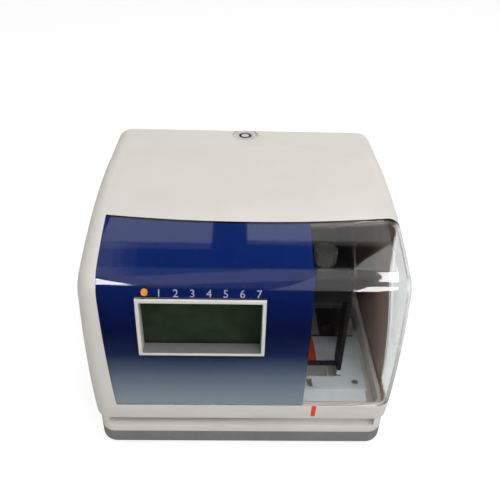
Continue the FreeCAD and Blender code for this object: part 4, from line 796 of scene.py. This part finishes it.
def make_floor():
    """A pale floor, whose part ahead of the machine is dim where the window mirrors it."""
    deselect_all()
    bpy.ops.mesh.primitive_plane_add(size=FLOOR_SPAN, location=(0, 0, -FLOOR_DROP))
    floor = bpy.context.object
    floor.name = "pale_floor"
    material, tree, shader = new_material("pale_floor")
    shader.inputs["Roughness"].default_value = 0.9
    shader.inputs["Specular IOR Level"].default_value = 0.0
    ray = tree.nodes.new("ShaderNodeLightPath")
    shiny = math_node(tree, "GREATER_THAN", ray.outputs["Glossy Depth"], BOUNCED)
    lamplit = math_node(tree, "GREATER_THAN", ray.outputs["Diffuse Depth"], BOUNCED)
    lit = mix_colours(tree, lamplit, FLOOR_SEEN, FLOOR_PALE)
    split = tree.nodes.new("ShaderNodeSeparateXYZ")
    tree.links.new(object_point(tree), split.inputs[0])
    behind = spread(tree, split.outputs["Y"], FLOOR_AHEAD, FLOOR_BEHIND)
    mirrored = mix_colours(tree, behind, FLOOR_AHEAD_MIRRORED, FLOOR_BEHIND_MIRRORED)
    tree.links.new(mix_colours(tree, shiny, lit, mirrored), shader.inputs["Base Color"])
    glow = tree.nodes.new("ShaderNodeEmission")
    plain = math_node(tree, "SUBTRACT", 1.0, math_node(tree, "MAXIMUM", shiny, lamplit))
    tree.links.new(math_node(tree, "MULTIPLY", plain, FLOOR_GLOW), glow.inputs["Strength"])
    both = tree.nodes.new("ShaderNodeAddShader")
    tree.links.new(shader.outputs[0], both.inputs[0])
    tree.links.new(glow.outputs[0], both.inputs[1])
    tree.links.new(both.outputs[0], tree.nodes["Material Output"].inputs["Surface"])
    floor.data.materials.append(material)


def make_world():
    """Even studio light, white to the camera, and dark in reflections but for the backdrop."""
    world = bpy.data.worlds.new("studio")
    bpy.context.scene.world = world
    world.use_nodes = True
    tree = world.node_tree
    background = tree.nodes["Background"]
    ray = tree.nodes.new("ShaderNodeLightPath")
    split = tree.nodes.new("ShaderNodeSeparateXYZ")
    tree.links.new(tree.nodes.new("ShaderNodeTexCoord").outputs["Generated"], split.inputs[0])
    backdrop = spread(tree, split.outputs["Y"], *BACKDROP_SPAN, REFLECTED_ROOM,
                      REFLECTED_BACKDROP)
    through = ray.outputs["Is Transmission Ray"]
    bounced = math_node(tree, "GREATER_THAN", ray.outputs["Glossy Depth"], BOUNCED)
    lamplit = math_node(tree, "GREATER_THAN", ray.outputs["Diffuse Depth"], BOUNCED)
    seen = math_node(tree, "MAXIMUM", ray.outputs["Is Camera Ray"], through)
    mirrored = math_node(tree, "MAXIMUM", ray.outputs["Is Glossy Ray"],
                         math_node(tree, "MULTIPLY", through, bounced))
    inside = math_node(tree, "MULTIPLY", through, lamplit)
    light = mix_values(tree, mirrored, mix_values(tree, seen, WORLD_LIGHT, 1.0), backdrop)
    tree.links.new(mix_values(tree, inside, light, 0.0), background.inputs["Strength"])
    background.inputs["Color"].default_value = colour(1.0, 1.0, 1.0)


def add_panel(name, x, y, height, radiance, mirrored, turn=0):
    """A level panel that faces down; it is mirrored in the machine, or else lights it."""
    lamp = bpy.data.lights.new(name, "AREA")
    lamp.shape = "RECTANGLE"
    lamp.size = x[1] - x[0]
    lamp.size_y = y[1] - y[0]
    lamp.energy = math.pi * lamp.size * lamp.size_y * radiance
    item = bpy.data.objects.new(name, lamp)
    bpy.context.scene.collection.objects.link(item)
    item.location = ((x[0] + x[1]) / 2, (y[0] + y[1]) / 2, height)
    item.rotation_euler.z = math.radians(turn)
    item.visible_diffuse = not mirrored
    item.visible_glossy = mirrored
    item.visible_transmission = mirrored


def make_lamps():
    """The mirrored panels each have a height of their own, so that none hides another."""
    for name, x, y, radiance in CEILING_LAMPS:
        add_panel(name, x, y, CEILING_HEIGHT, radiance, mirrored=False)
    for step, (name, x, y, radiance, turn) in enumerate(MIRRORED_PANELS):
        add_panel(name, x, y, LAMP_HEIGHT + LAMP_STEP * step, radiance, mirrored=True, turn=turn)


def make_camera():
    camera = bpy.data.cameras.new("photo_camera")
    camera.sensor_width = CAMERA_SENSOR
    camera.lens = CAMERA_LENS
    camera.clip_start = CAMERA_NEAR
    item = bpy.data.objects.new("photo_camera", camera)
    bpy.context.scene.collection.objects.link(item)
    item.location = CAMERA_PLACE
    item.rotation_euler = [math.radians(turn) for turn in CAMERA_TURN]
    bpy.context.scene.camera = item


dress_frame_pieces()
soft_pieces = make_soft_pieces()
shade_cover_inside(soft_pieces["top_cover"])
shade_bezel_inside(soft_pieces["display_bezel"])
tint_window_edge()
make_numbers(make_label())
make_floor()
make_world()
make_lamps()
make_camera()
bpy.context.scene.view_settings.view_transform = "Standard"
